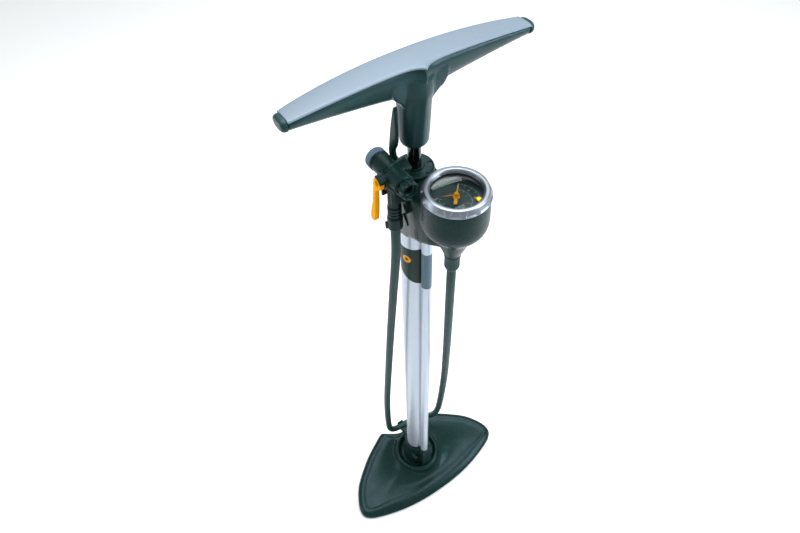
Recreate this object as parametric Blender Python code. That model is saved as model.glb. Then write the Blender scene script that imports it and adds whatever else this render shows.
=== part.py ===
"""Floor-standing bicycle pump: base, extruded barrel with a side air channel, top housing with a
pressure gauge, T handle on a sliding rod, and a two-way pump head docked beside the rod on a hose.

Metres, +Z up. The origin is on the floor, on the barrel's axis. -Y is the gauge side and X runs along
the handle. Dimensions below are millimetres and are multiplied by MM when a mesh is made.
"""

import math

import bmesh
import bpy
from mathutils import Matrix, Vector

MM = 0.001
GAP = 0.3  # between pieces that rest on each other

# ---- driving dimensions (mm) -------------------------------------------------------------------
# base: half outline from the middle of the front edge, round the tip, to the middle of the bay in the back edge
BASE_OUTLINE = [
    (0, -68), (32, -66.8), (62, -62.6), (90, -55.4), (113, -47), (124, -39), (127, -29.5),
    (123.4, -14.5), (110, 8), (91, 26), (69, 43), (46, 56.6), (35, 62.6), (31.5, 64.1), (28, 63.4), (20, 57.9), (10, 51.0), (0, 47.2),
]
BASE_FOOT_Z = 2.0
BASE_UNDER_Z = BASE_FOOT_Z + GAP
BASE_RIM_Z = 11.0
BASE_RING_R, BASE_RING_Z = 32.0, 30.0
BASE_CRATER_Z = 24.0
RIM_WIDTH = 11.0

# barrel: main tube and the round air-channel lobe in front of it
TUBE_R, BORE_R = 15.0, 13.0
LOBE_R, LOBE_Y, CHANNEL_R = 5.5, -20.5, 3.0
BARREL_Z0, BARREL_Z1 = 10.0, 628.0
SOCKET_R, SOCKET_Z1 = 20.0, 71.5

# foot plug with the outlet check valve
PLUG_Z0, PLUG_Z1, PLUG_R = 10.3, 44.0, 12.7
VALVE_LIFT = 1.5

# piston, rod and handle
PISTON_Z0, PISTON_Z1 = 48.0, 62.0
ROD_R, ROD_TOP_Z = 6.0, 712.0
COLUMN_Z0 = 665.5
HANDLE_PLATE_HALF = 109.0
PLATE_T = 2.2

# top housing
COLLAR_R, COLLAR_Z0, COLLAR_Z1 = 19.6, 567.0, 632.0
CAP_R, CAP_Z1 = 18.0, 639.3
GAUGE_Y, BOWL_R, BOWL_Z1 = -59.4, 28.0, 650.3
BOWL_FLOOR_Z = 610.2
NUB_Z0 = 579.0
BEZEL_Z1 = 657.0
BOOT_Z0 = 557.0

# pump head
HEAD_X, HEAD_Z, HEAD_R = -34.0, 659.0, 9.0
HEAD_Y0, HEAD_Y1 = -36.7, 2.2
STEM_Y, STEM_R = -19.0, 5.75
FERRULE_Z0, FERRULE_Z1, FERRULE_R = 598.0, 613.5, 7.0
LEFT_PIVOT = (-47.0, -17.5, 656.0)
RIGHT_PIVOT = (-21.8, -2.5, 657.0)

HOSE_R = 4.5
ROUND_SHARE = 0.62  # share of the sides asked for on a turned shape: 1 is finer


# ---- scene and materials -----------------------------------------------------------------------
for old in list(bpy.data.objects):
    bpy.data.objects.remove(old, do_unlink=True)

COLOURS = {
    "plastic": ((0.020, 0.036, 0.035), 0.42, 0.0),
    "plate": ((0.46, 0.53, 0.60), 0.38, 0.55),
    "rubber": ((0.012, 0.020, 0.019), 0.72, 0.0),
    "alloy": ((0.72, 0.75, 0.79), 0.30, 0.9),
    "steel": ((0.55, 0.56, 0.58), 0.30, 1.0),
    "rodsteel": ((0.08, 0.10, 0.10), 0.25, 0.9),
    "brass": ((0.66, 0.48, 0.20), 0.32, 1.0),
    "chrome": ((0.78, 0.80, 0.83), 0.10, 1.0),
    "glass": ((0.85, 0.90, 0.92), 0.04, 0.0),
    "dial": ((0.022, 0.030, 0.030), 0.50, 0.0),
    "orange": ((0.93, 0.37, 0.010), 0.36, 0.0),
    "yellow": ((0.95, 0.62, 0.02), 0.40, 0.0),
    "grey": ((0.16, 0.23, 0.29), 0.50, 0.0),
}


def material(name, kind):
    colour, rough, metal = COLOURS[kind]
    mat = bpy.data.materials.new(name + "_" + kind)
    mat.use_nodes = True
    shader = mat.node_tree.nodes["Principled BSDF"]
    shader.inputs["Base Color"].default_value = (*colour, 1.0)
    shader.inputs["Roughness"].default_value = rough
    shader.inputs["Metallic"].default_value = metal
    if kind == "glass":
        shader.inputs["Transmission Weight"].default_value = 0.9
    return mat


def add(name, bm, kind, origin=(0, 0, 0), cutter=False, smooth=True, angle=38):
    """Object from a bmesh in millimetres in world place, with its origin at `origin`."""
    bmesh.ops.remove_doubles(bm, verts=bm.verts, dist=1e-4)
    bmesh.ops.recalc_face_normals(bm, faces=bm.faces)
    bmesh.ops.translate(bm, verts=bm.verts, vec=-Vector(origin))
    bmesh.ops.scale(bm, verts=bm.verts, vec=(MM, MM, MM))
    mesh = bpy.data.meshes.new(name)
    bm.to_mesh(mesh)
    bm.free()
    obj = bpy.data.objects.new(name, mesh)
    obj.location = Vector(origin) * MM
    bpy.context.scene.collection.objects.link(obj)
    if smooth:
        mesh.shade_smooth()
        mesh.set_sharp_from_angle(angle=math.radians(angle))
    if cutter:
        obj.hide_render = True
        obj.display_type = "WIRE"
    else:
        mesh.materials.append(material(name, kind))
    return obj


cutter_count = 0


def tool(bm):
    global cutter_count
    cutter_count += 1
    return add(f"tool_{cutter_count:02d}", bm, None, cutter=True, smooth=False)


def combine(obj, other, operation):
    mod = obj.modifiers.new(operation.lower(), "BOOLEAN")
    mod.operation = operation
    mod.solver = "EXACT"
    mod.object = other
    return obj


def cut(obj, *bms):
    for bm in bms:
        combine(obj, tool(bm), "DIFFERENCE")
    return obj


def join(obj, *bms):
    for bm in bms:
        combine(obj, tool(bm), "UNION")
    return obj


# ---- shape makers (all in millimetres) ---------------------------------------------------------
AXES = {
    "Z": Matrix.Identity(3),
    "X": Matrix(((0, 0, 1), (0, 1, 0), (-1, 0, 0))),  # local +Z goes to +X
    "Y": Matrix(((1, 0, 0), (0, 0, 1), (0, -1, 0))),  # local +Z goes to +Y
}


def turned(profile, segs=32, at=(0, 0, 0), axis="Z", phase=0.0, bm=None):
    """Turns a closed profile of (radius, height) about its axis through `at`."""
    bm = bm or bmesh.new()
    segs = max(8, 2 * round(segs * ROUND_SHARE / 2))
    turn, at = AXES[axis], Vector(at)
    rings = []
    for r, h in profile:
        if r < 1e-6:
            rings.append([bm.verts.new(turn @ Vector((0, 0, h)) + at)])
            continue
        ring = []
        for i in range(segs):
            a = 2 * math.pi * (i + phase) / segs
            ring.append(bm.verts.new(turn @ Vector((r * math.cos(a), r * math.sin(a), h)) + at))
        rings.append(ring)
    for k, low in enumerate(rings):
        high = rings[(k + 1) % len(rings)]
        if len(low) == 1 and len(high) == 1:
            continue
        for i in range(segs):
            j = (i + 1) % segs
            if len(low) == 1:
                bm.faces.new((low[0], high[j], high[i]))
            elif len(high) == 1:
                bm.faces.new((low[i], low[j], high[0]))
            else:
                bm.faces.new((low[i], low[j], high[j], high[i]))
    return bm


def rod(r, h0, h1, segs=24, at=(0, 0, 0), axis="Z", bevel=0.0, phase=0.0):
    if bevel:
        profile = [(0, h0), (r - bevel, h0), (r, h0 + bevel), (r, h1 - bevel), (r - bevel, h1), (0, h1)]
    else:
        profile = [(0, h0), (r, h0), (r, h1), (0, h1)]
    return turned(profile, segs, at, axis, phase)


def ring_of(r_in, r_out, h0, h1, segs=32, at=(0, 0, 0), axis="Z", bevel=0.0):
    b = bevel
    if b:
        profile = [(r_in, h0), (r_out - b, h0), (r_out, h0 + b), (r_out, h1 - b), (r_out - b, h1), (r_in, h1)]
    else:
        profile = [(r_in, h0), (r_out, h0), (r_out, h1), (r_in, h1)]
    return turned(profile, segs, at, axis)


def lofted(loops, bm=None):
    """Skins loops of equal length and closes both ends."""
    bm = bm or bmesh.new()
    rings = [[bm.verts.new(p) for p in loop] for loop in loops]
    n = len(rings[0])
    for low, high in zip(rings, rings[1:]):
        for i in range(n):
            j = (i + 1) % n
            bm.faces.new((low[i], low[j], high[j], high[i]))
    bm.faces.new(rings[0])
    bm.faces.new(rings[-1])
    return bm


def block(x0, x1, y0, y1, z0, z1):
    plan = [(x0, y0), (x1, y0), (x1, y1), (x0, y1)]
    return lofted([[(x, y, z) for x, y in plan] for z in (z0, z1)])


def circle(r, n, cx=0.0, cy=0.0, start=0.0):
    return [
        (cx + r * math.cos(start + 2 * math.pi * i / n), cy + r * math.sin(start + 2 * math.pi * i / n))
        for i in range(n)
    ]


def spline(points, per_span, closed=False):
    """Catmull-Rom curve through the points."""
    pts = [Vector(p) for p in points]
    n = len(pts)
    out = []
    spans = n if closed else n - 1
    for k in range(spans):
        if closed:
            p0, p1, p2, p3 = (pts[(k + d) % n] for d in (-1, 0, 1, 2))
        else:
            p1, p2 = pts[k], pts[k + 1]
            p0 = pts[k - 1] if k else p1 * 2 - p2
            p3 = pts[k + 2] if k + 2 < n else p2 * 2 - p1
        for s in range(per_span):
            t = s / per_span
            out.append(
                0.5 * (2 * p1 + (p2 - p0) * t + (2 * p0 - 5 * p1 + 4 * p2 - p3) * t * t
                       + (3 * p1 - p0 - 3 * p2 + p3) * t * t * t)
            )
    if not closed:
        out.append(pts[-1])
    return out


def even(points, count, closed):
    """The same path as `count` points at equal steps."""
    pts = list(points) + ([points[0]] if closed else [])
    length = [0.0]
    for a, b in zip(pts, pts[1:]):
        length.append(length[-1] + (b - a).length)
    steps = count if closed else count - 1
    out, k = [], 0
    for i in range(count):
        want = length[-1] * i / steps
        while k < len(pts) - 2 and length[k + 1] < want:
            k += 1
        span = length[k + 1] - length[k]
        t = (want - length[k]) / span if span else 0
        out.append(pts[k].lerp(pts[k + 1], min(max(t, 0), 1)))
    return out


# ---- base ----------------------------------------------------------------------------------------
def base_outline(count=56):
    right = [Vector((x, y)) for x, y in BASE_OUTLINE]
    left = [Vector((-x, y)) for x, y in reversed(BASE_OUTLINE[1:-1])]
    return even(spline(right + left, 6, closed=True), count, True)


def inset(loop, distance):
    """The loop moved towards the middle, so that its rim keeps about the same width all the way round."""
    n = len(loop)
    lean = []
    for i in range(n):
        along = (loop[(i + 2) % n] - loop[i - 2]).normalized()
        lean.append(max(abs(Vector((-along.y, along.x)).dot(loop[i].normalized())), 0.55))
    out = []
    for i in range(n):
        soft = (lean[i - 1] + 2 * lean[i] + lean[(i + 1) % n]) / 4
        out.append(loop[i] * max(1 - distance / soft / loop[i].length, 34.5 / loop[i].length))
    return out


EDGE = base_outline()
ANGLES = [math.atan2(p.y, p.x) for p in EDGE]


def around(r):
    return [Vector((r * math.cos(a), r * math.sin(a))) for a in ANGLES]


def between(low, high, t):
    return [a.lerp(b, t) for a, b in zip(low, high)]


def at_height(loop, z):
    return [(p.x, p.y, z) for p in loop]


shoulder, ring_out = inset(EDGE, 9), around(BASE_RING_R + 4.5)
underside = inset(EDGE, RIM_WIDTH)
base_loops = [
    at_height(around(23), BASE_UNDER_Z),
    at_height(around(24), 18.5),
    at_height(around(28), 20.5),
    at_height(between(underside, around(30), 0.5), 10.5),
    at_height(inset(EDGE, RIM_WIDTH + 0.8), 7.5),
    at_height(underside, BASE_UNDER_Z),
    at_height(inset(EDGE, 0.8), BASE_UNDER_Z),
    at_height(EDGE, BASE_UNDER_Z + 1.2),
    at_height(EDGE, BASE_RIM_Z - 4.2),
    at_height(inset(EDGE, 1.2), BASE_RIM_Z - 1.4),
    at_height(inset(EDGE, 3.6), BASE_RIM_Z),
    at_height(shoulder, BASE_RIM_Z - 0.5),
    at_height(between(shoulder, ring_out, 0.4), 12.6),
    at_height(between(shoulder, ring_out, 0.75), 17.0),
    at_height(ring_out, 24.2),
    at_height(around(BASE_RING_R + 1.6), BASE_RING_Z - 0.7),
    at_height(around(BASE_RING_R - 0.6), BASE_RING_Z),
    at_height(around(BASE_RING_R - 2.8), BASE_RING_Z - 1.6),
    at_height(around(BASE_RING_R - 4.6), BASE_CRATER_Z + 0.8),
    at_height(around(BASE_RING_R - 8.0), BASE_CRATER_Z),
]
base = add("base_plate", lofted(base_loops), "plastic")


def barrel_outline(tube_r, lobe_r, web=3.2, n=30):
    """Round tube with the lobe in front, joined by a short web, as one loop."""
    join_y = -math.sqrt(tube_r**2 - web**2)
    lobe_join = LOBE_Y + math.sqrt(max(lobe_r**2 - web**2, 0))
    pts = []
    a0 = math.atan2(join_y, web)
    for i in range(n + 1):
        a = a0 + (2 * math.pi - 2 * (a0 + math.pi / 2)) * i / n
        pts.append((tube_r * math.cos(a), tube_r * math.sin(a)))
    b0 = math.atan2(lobe_join - LOBE_Y, -web)
    m = max(n // 3, 8)
    sweep = 2 * math.pi - (math.pi - 2 * (math.pi - b0))
    for i in range(m + 1):
        b = b0 + sweep * i / m
        pts.append((lobe_r * math.cos(b), LOBE_Y + lobe_r * math.sin(b)))
    return pts


def barrel_prism(grow, z0, z1, n=30):
    plan = barrel_outline(TUBE_R + grow, LOBE_R + grow, 3.2 + grow * 0.6, n)
    return lofted([[(x, y, z) for x, y in plan] for z in (z0, z1)])


cut(base, barrel_prism(GAP, BARREL_Z0 - GAP, 40), rod(2.6, -1, 15, 16), rod(5.2, 1, 6.2, 20))

feet = {
    "foot_left": (-120.0, -31.0), "foot_right": (120.0, -31.0), "foot_front": (0.0, -62.2),
    "foot_back_left": (-31.0, 57.4), "foot_back_right": (31.0, 57.4),
}
for name, (fx, fy) in feet.items():
    add(name, rod(4.6, 0.0, BASE_FOOT_Z, 16, (fx, fy, 0), bevel=0.4), "rubber", (fx, fy, 0))
add("centre_pad", rod(18.0, 0.0, BASE_FOOT_Z, 28, bevel=0.4), "rubber")
add("centre_screw", turned([(0, 3.0), (4.8, 3.0), (4.8, 5.9), (2.2, 5.9), (2.2, 20.0), (0, 20.0)], 16), "steel")

# ---- socket that clamps the barrel to the base ----------------------------------------------------
socket_z0 = BASE_CRATER_Z + GAP
socket = add("base_socket", turned([
    (0, socket_z0), (SOCKET_R + 1.8, socket_z0), (SOCKET_R + 1.8, socket_z0 + 3.5), (SOCKET_R, socket_z0 + 6),
    (SOCKET_R - 1.2, SOCKET_Z1 - 1.2), (SOCKET_R - 2.4, SOCKET_Z1), (0, SOCKET_Z1)], 36), "plastic")
nose = lofted([
    [(-9.5, -7, BASE_RING_Z + 0.6), (9.5, -7, BASE_RING_Z + 0.6), (8.0, -29.6, BASE_RING_Z + 0.6), (-8.0, -29.6, BASE_RING_Z + 0.6)],
    [(-9.5, -7, 45.0), (9.5, -7, 45.0), (8.0, -29.2, 45.0), (-8.0, -29.2, 45.0)],
    [(-9.0, -7, SOCKET_Z1 + 1.8), (9.0, -7, SOCKET_Z1 + 1.8), (7.2, -27.8, SOCKET_Z1 + 1.8), (-7.2, -27.8, SOCKET_Z1 + 1.8)],
])
join(socket, nose)
SCREW_X, SCREW_Y, SCREW_Z = 13.4, -19.4, 50.0
for sx in (-1, 1):
    join(socket, rod(4.0, 0, 9.5, 14, (sx * SCREW_X, SCREW_Y, SCREW_Z), "Y"))
cut(socket, barrel_prism(GAP, socket_z0 - 5, SOCKET_Z1 + 10))
for side, sx in (("left", -1), ("right", 1)):
    cut(socket, rod(2.9, -3.0, 2.3, 14, (sx * SCREW_X, SCREW_Y, SCREW_Z), "Y"))
    add(f"socket_screw_{side}",
        turned([(0, -0.9), (1.9, -0.9), (2.6, 0.0), (2.6, 2.0), (0, 2.0)], 14,
               (sx * SCREW_X, SCREW_Y, SCREW_Z), "Y"), "steel", (sx * SCREW_X * 1.0, SCREW_Y, SCREW_Z))

# ---- barrel ---------------------------------------------------------------------------------------
barrel = add("barrel", barrel_prism(0.0, BARREL_Z0, BARREL_Z1), "alloy")
cut(barrel, rod(BORE_R, 0, 700, 36), rod(CHANNEL_R, 20, 700, 14, (0, LOBE_Y, 0)),
    rod(1.5, -22, -10, 10, (0, 0, 32), "Y"))

plug = add("foot_plug", turned([
    (0, PLUG_Z0), (PLUG_R, PLUG_Z0), (PLUG_R, 20.0), (10.6, 20.0), (10.6, 24.0), (PLUG_R, 24.0),
    (PLUG_R, PLUG_Z1 - 1.2), (PLUG_R - 1.2, PLUG_Z1), (0, PLUG_Z1)], 32), "plastic")
cut(plug, rod(2.5, 5, 20.6, 14), rod(4.2, 26.0, 41.0, 20), rod(1.8, 38, 50, 12),
    rod(1.5, -20, 0, 10, (0, 0, 32), "Y"))
add("foot_oring", turned([
    (11.75 + 0.95 * math.cos(2 * math.pi * i / 6), 22.0 + 0.95 * math.sin(2 * math.pi * i / 6)) for i in range(6)
], 32), "rubber")

poppet_at = (0, 0, 38.0)
add("valve_poppet", turned([
    (0, 37.9), (3.3, 37.9), (3.3, 39.6), (2.4, 40.7), (0, 40.7)], 16), "rubber", poppet_at)


def coil(radius, wire, z0, z1, turns, per_turn=10, sides=5):
    """Compression spring as a tube swept along a helix."""
    count = int(turns * per_turn)
    loops = []
    for i in range(count + 1):
        a = 2 * math.pi * turns * i / count
        z = z0 + wire + (z1 - z0 - 2 * wire) * i / count
        out = Vector((math.cos(a), math.sin(a), 0))
        loops.append([
            tuple(Vector((0, 0, z)) + out * (radius + wire * math.cos(b)) + Vector((0, 0, wire * math.sin(b))))
            for b in (2 * math.pi * k / sides for k in range(sides))
        ])
    return lofted(loops)


add("valve_spring", coil(2.7, 0.4, 26.3, 37.6, 4.5), "steel")

# ---- hose hook behind the barrel --------------------------------------------------------------------
HOOK_Y, HOOK_Z, HOOK_X = 36.0, 60.0, -4.0


def hook_loop(x):
    """J-shaped section: arm from the socket, cup under the hose, and a raised tip."""
    inner, outer = HOSE_R + 0.5, HOSE_R + 3.1
    pts = []
    for i in range(9):
        a = math.pi + math.pi * 1.12 * i / 8
        pts.append((x, HOOK_Y + outer * math.cos(a), HOOK_Z + outer * math.sin(a)))
    for i in range(9):
        a = math.pi * 2.12 - math.pi * 1.12 * i / 8
        pts.append((x, HOOK_Y + inner * math.cos(a), HOOK_Z + inner * math.sin(a)))
    return pts


hook = add("hose_hook", lofted([hook_loop(HOOK_X - 5), hook_loop(HOOK_X + 5)]), "plastic")
join(hook, block(HOOK_X - 4.6, HOOK_X + 4.6, 16, HOOK_Y - HOSE_R - 1.2, HOOK_Z - 5.4, HOOK_Z + 3.4))
cut(hook, rod(SOCKET_R + 0.4, 0, 100, 36))

# ---- top housing: collar, web and gauge bowl ----------------------------------------------------------
housing = add("top_housing", turned([
    (0, COLLAR_Z0), (COLLAR_R - 0.8, COLLAR_Z0), (COLLAR_R, COLLAR_Z0 + 0.8), (COLLAR_R, COLLAR_Z1), (0, COLLAR_Z1)],
    36), "plastic")
bowl = turned([
    (0, NUB_Z0), (8.0, NUB_Z0), (9.3, 583.0), (10.8, 587.0), (12.2, 590.5), (13.6, 594.5), (15.2, 599.0), (17.4, 603.6), (20.8, 607.4),
    (24.0, 611.3), (27.2, 616.0), (28.7, 620.5), (29.2, 625.5), (29.2, 630.0), (28.8, 641.0), (28.2, BOWL_Z1), (0, BOWL_Z1)],
    44, (0, GAUGE_Y, 0))


def web_section(y, w_low, w_top, z_low, z_top):
    """Web between collar and bowl at y: its lower corners are eased."""
    return [(-w_low + 5.0, y, z_low), (w_low - 5.0, y, z_low), (w_low, y, z_low + 4.0), (w_top, y, z_top), (-w_top, y, z_top),
            (-w_low, y, z_low + 4.0)]


web = lofted([
    web_section(0, 18.9, 18.9, 567.3, 631.0), web_section(-10, 20.2, 20.6, 569.0, 631.2),
    web_section(-18.7, 21.2, 22.2, 574.0, 631.4), web_section(-19.6, 21.3, 22.4, 574.6, 638.6),
    web_section(-28, 22.6, 24.0, 580.5, 640.8), web_section(-40, 24.2, 25.8, 587.5, 642.0),
    web_section(-52, 22.0, 27.4, 594.0, 642.0), web_section(-57, 14.0, 26.0, 590.5, 640.0)])
join(housing, web, bowl)
cut(housing,
    barrel_prism(GAP, COLLAR_Z0 - 10, BARREL_Z1 + GAP),
    rod(12.0, 600, 700, 32),
    turned([(0, BOWL_FLOOR_Z), (20.0, BOWL_FLOOR_Z), (25.3, 617.5), (25.3, 700), (0, 700)], 40, (0, GAUGE_Y, 0)),
    rod(3.4, 560, 620, 16, (0, GAUGE_Y, 0)),
    rod(1.6, GAUGE_Y + 1.2, LOBE_Y, 10, (0, 0, 592.3), "Y", phase=0.5))

cap = add("top_cap", turned([
    (0, COLLAR_Z1 + GAP), (CAP_R, COLLAR_Z1 + GAP), (CAP_R, CAP_Z1 - 1.6), (CAP_R - 0.6, CAP_Z1 - 0.5),
    (CAP_R - 1.8, CAP_Z1), (0, CAP_Z1)], 36), "plastic")
cut(cap, rod(9.0, 600, 700, 28))
CAP_SCREWS = (("left", (5.5, 13.0)), ("right", (12.8, -5.6)))
for side, (sx, sy) in CAP_SCREWS:
    cut(cap, rod(2.6, CAP_Z1 - 2.6, 700, 14, (sx, sy, 0)))
    add(f"cap_screw_{side}", turned([
        (0, CAP_Z1 - 2.3), (2.3, CAP_Z1 - 2.3), (2.3, CAP_Z1 - 0.9), (1.7, CAP_Z1 - 0.4), (0, CAP_Z1 - 0.4)], 14,
        (sx, sy, 0)), "steel", (sx, sy, CAP_Z1))
add("rod_bushing", turned([
    (ROD_R + 0.25, 629.0), (11.0, 629.0), (11.0, 631.8), (8.7, 631.8), (8.7, CAP_Z1 + 0.6), (ROD_R + 0.25, CAP_Z1 + 0.6)],
    28), "plastic")

# ---- gauge ---------------------------------------------------------------------------------------------
G = (0, GAUGE_Y, 0)
add("gauge_socket", turned([
    (0, 596.0), (3.0, 596.0), (3.0, BOWL_FLOOR_Z + GAP), (7.5, BOWL_FLOOR_Z + GAP), (7.5, 613.4), (0, 613.4)],
    18, G), "brass")


def bourdon():
    """Flattened tube bent to an open C round the socket."""
    loops = []
    for i in range(19):
        a = math.radians(200 - 255 * i / 18)
        out = Vector((math.cos(a), math.sin(a), 0))
        c = Vector((0, GAUGE_Y, 614.5)) + out * 18.5
        loops.append([tuple(c + out * dx + Vector((0, 0, dz))) for dx, dz in
                      ((-1.1, -2.6), (-0.4, -3.4), (0.4, -3.4), (1.1, -2.6), (1.1, 2.6), (0.4, 3.4), (-0.4, 3.4), (-1.1, 2.6))])
    return lofted(loops)


add("bourdon_tube", bourdon(), "brass")
SECTOR = (10.0, GAUGE_Y + 11.0)
PINION_R = 2.2
SECTOR_REACH = math.hypot(SECTOR[0], SECTOR[1] - GAUGE_Y) - PINION_R - GAP
plate = add("movement_plate", block(-9, 15, GAUGE_Y - 7, GAUGE_Y + 16, 621.5, 623.0), "brass")
cut(plate, rod(1.6, 610, 630, 12, G), rod(1.6, 610, 630, 12, (SECTOR[0], SECTOR[1], 0)))
join(plate, block(-8.0, -5.0, GAUGE_Y - 4.5, GAUGE_Y, 613.7, 622.0))


def sector():
    aim = math.atan2(GAUGE_Y - SECTOR[1], -SECTOR[0])
    start, sweep = aim - math.radians(53), math.radians(57)
    plan = [(SECTOR[0] + 3.2 * math.cos(aim + math.pi * (0.6 + 0.8 * i / 6)),
             SECTOR[1] + 3.2 * math.sin(aim + math.pi * (0.6 + 0.8 * i / 6))) for i in range(7)]
    plan += [(SECTOR[0] + SECTOR_REACH * math.cos(start + sweep * i / 10),
              SECTOR[1] + SECTOR_REACH * math.sin(start + sweep * i / 10)) for i in range(11)]
    return lofted([[(x, y, z) for x, y in plan] for z in (625.2, 627.2)])


add("sector_gear", sector(), "brass", (SECTOR[0], SECTOR[1], 626.0))
join(bpy.data.objects["sector_gear"], rod(1.3, 618.5, 630.5, 12, (SECTOR[0], SECTOR[1], 0)))

dial_z = 641.0
add("dial_plate", ring_of(1.9, 24.6, dial_z, dial_z + 1.0, 40, G), "dial", (0, GAUGE_Y, dial_z))
add("needle_shaft", turned([
    (0, 616.0), (1.25, 616.0), (1.25, 624.9), (PINION_R, 624.9), (PINION_R, 627.5), (1.25, 627.5), (1.25, 645.6), (0, 645.6)],
    14, G), "brass", (0, GAUGE_Y, 640))
NEEDLE_AIM = math.radians(47)


def needle_plan(tip, tail, hub, wide, aim):
    along, side = Vector((math.cos(aim), math.sin(aim))), Vector((-math.sin(aim), math.cos(aim)))
    plan = [along * tip + side * 0.18, along * (hub * 0.9) + side * wide * 0.7, -along * hub + side * wide,
            -along * tail + side * wide, -along * tail - side * wide, -along * hub - side * wide,
            along * (hub * 0.9) - side * wide * 0.7, along * tip - side * 0.18]
    return [(p.x, GAUGE_Y + p.y) for p in plan]


pointer = add("needle", lofted([
    [(x, y, z) for x, y in needle_plan(15.0, 7.5, 3.2, 1.5, NEEDLE_AIM)] for z in (646.0, 646.8)]), "orange", (0, GAUGE_Y, 646))
join(pointer, rod(3.0, 645.9, 647.6, 16, G))
HAND_AIM = math.radians(156)
hand = add("set_hand", lofted([
    [(x, y, z) for x, y in needle_plan(11.0, 3.5, 2.0, 0.6, HAND_AIM)] for z in (648.6, 649.1)]), "orange", (0, GAUGE_Y, 648))
join(hand, rod(1.8, 648.5, 650.6, 12, G))
add("lens_gasket", ring_of(23.6, 25.0, 648.2, 650.1, 40, G), "rubber")
add("gauge_lens", rod(22.9, 651.0, 652.8, 40, G), "glass", (0, GAUGE_Y, 652))
bezel = add("bezel_ring", turned([
    (23.3, BOWL_Z1 + GAP), (29.2, BOWL_Z1 + GAP), (29.2, 652.0), (28.6, 653.6), (26.9, BEZEL_Z1 - 0.4), (26.2, BEZEL_Z1),
    (23.6, BEZEL_Z1), (22.4, BEZEL_Z1 - 0.9), (21.3, BEZEL_Z1 - 2.9), (21.3, 653.1), (23.3, 653.1)], 48, G),
    "chrome", (0, GAUGE_Y, 652))
MARK_AIM = math.radians(-65)
mark = Vector((math.cos(MARK_AIM), math.sin(MARK_AIM)))
across = Vector((-mark.y, mark.x))
mark_plan = [mark * 20.9 + across * 2.2, mark * 17.2, mark * 20.9 - across * 2.2]
add("target_marker", lofted([
    [(p.x, GAUGE_Y + p.y, z) for p in mark_plan] for z in (653.2, 654.2)]), "yellow", (0, GAUGE_Y, 652))

# ---- hose fitting, boot and hose -----------------------------------------------------------------------
add("hose_barb", turned([
    (0, 562.0), (1.6, 562.0), (2.4, 566.0), (2.0, 566.0), (2.4, 570.0), (2.0, 570.0), (2.6, 572.0), (2.6, 594.0), (0, 594.0)],
    14, G), "brass")
boot = add("hose_boot", turned([
    (2.9, 559.6), (HOSE_R + 0.4, 557.2), (5.9, 558.8), (7.1, 561.6), (7.2, 563.0), (7.2, 574.6), (7.7, 575.6),
    (7.7, NUB_Z0 - GAP), (2.9, NUB_Z0 - GAP)], 24, G), "rubber")

HOSE_ROUTE = [
    (0, GAUGE_Y, BOOT_Z0 - 0.3), (0.5, GAUGE_Y + 0.6, 525), (6, -52.5, 455), (16, -40.5, 370), (27.5, -25.5, 280),
    (36, -10.5, 190), (40.5, 1.5, 125), (39.0, 14.0, 86), (27.0, 28.5, 66), (10.0, 35.2, 60.4), (HOOK_X, HOOK_Y, HOOK_Z),
    (-18.0, 36.8, 62.5), (-27.0, 36.0, 78), (-31.0, 32.5, 120), (-31.8, 28.6, 190), (-32.2, 18.5, 280),
    (-32.8, 5.0, 390), (-33.6, -8.5, 490), (HEAD_X, STEM_Y + 1.2, 560), (HEAD_X, STEM_Y, FERRULE_Z0 - GAP),
]


def hose_object(name, route, radius, points):
    curve = bpy.data.curves.new(name, "CURVE")
    curve.dimensions = "3D"
    curve.bevel_depth = radius * MM
    curve.bevel_resolution = 2
    curve.use_fill_caps = True
    curve.twist_mode = "MINIMUM"
    path = even(spline(route, 12), points, False)
    line = curve.splines.new("POLY")
    line.points.add(len(path) - 1)
    for point, p in zip(line.points, path):
        point.co = (*(p * MM), 1.0)
    obj = bpy.data.objects.new(name, curve)
    bpy.context.scene.collection.objects.link(obj)
    curve.materials.append(material(name, "rubber"))
    return obj


hose_object("hose", HOSE_ROUTE, HOSE_R, 60)

# ---- head dock ---------------------------------------------------------------------------------------------
dock = add("head_dock", lofted([
    [(-10.5, -9.0, CAP_Z1 + GAP), (-10.5, 7.5, CAP_Z1 + GAP), (-10.5, 5.0, 650.0), (-10.5, -6.0, 650.8)],
    [(-16.5, -14.0, CAP_Z1 + GAP), (-16.5, 3.5, CAP_Z1 + GAP), (-16.5, 1.0, 650.4), (-16.5, -9.0, 651.0)],
    [(-21.0, -20.0, 641.2), (-21.0, -3.0, 641.2), (-21.0, -4.6, 650.4), (-21.0, -15.0, 651.0)],
    [(-27.0, -27.0, 641.2), (-27.0, -11.0, 641.2), (-27.0, -11.0, 649.4), (-27.0, -27.0, 649.4)],
]), "plastic")
saddle = lofted([[(-41.5, -27.6, z), (-39.5, -28.8, z), (-25.5, -28.8, z), (-25.5, -9.2, z), (-39.5, -9.2, z), (-41.5, -10.4, z)]
                 for z in (635.0, 649.4)])
join(dock, saddle)
cut(dock, rod(STEM_R + 0.35, 620, 660, 24, (HEAD_X, STEM_Y, 0)),
    block(-60, HEAD_X, STEM_Y - STEM_R - 0.35, STEM_Y + STEM_R + 0.35, 620, 660),
    rod(2.6, 645.5, 660, 14, (-14.0, -2.4, 0)))
add("dock_screw", turned([(0, 645.8), (2.3, 645.8), (2.3, 649.2), (1.6, 649.8), (0, 649.8)], 14, (-14.0, -2.4, 0)),
    "steel", (-14.0, -2.4, 648))

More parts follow.
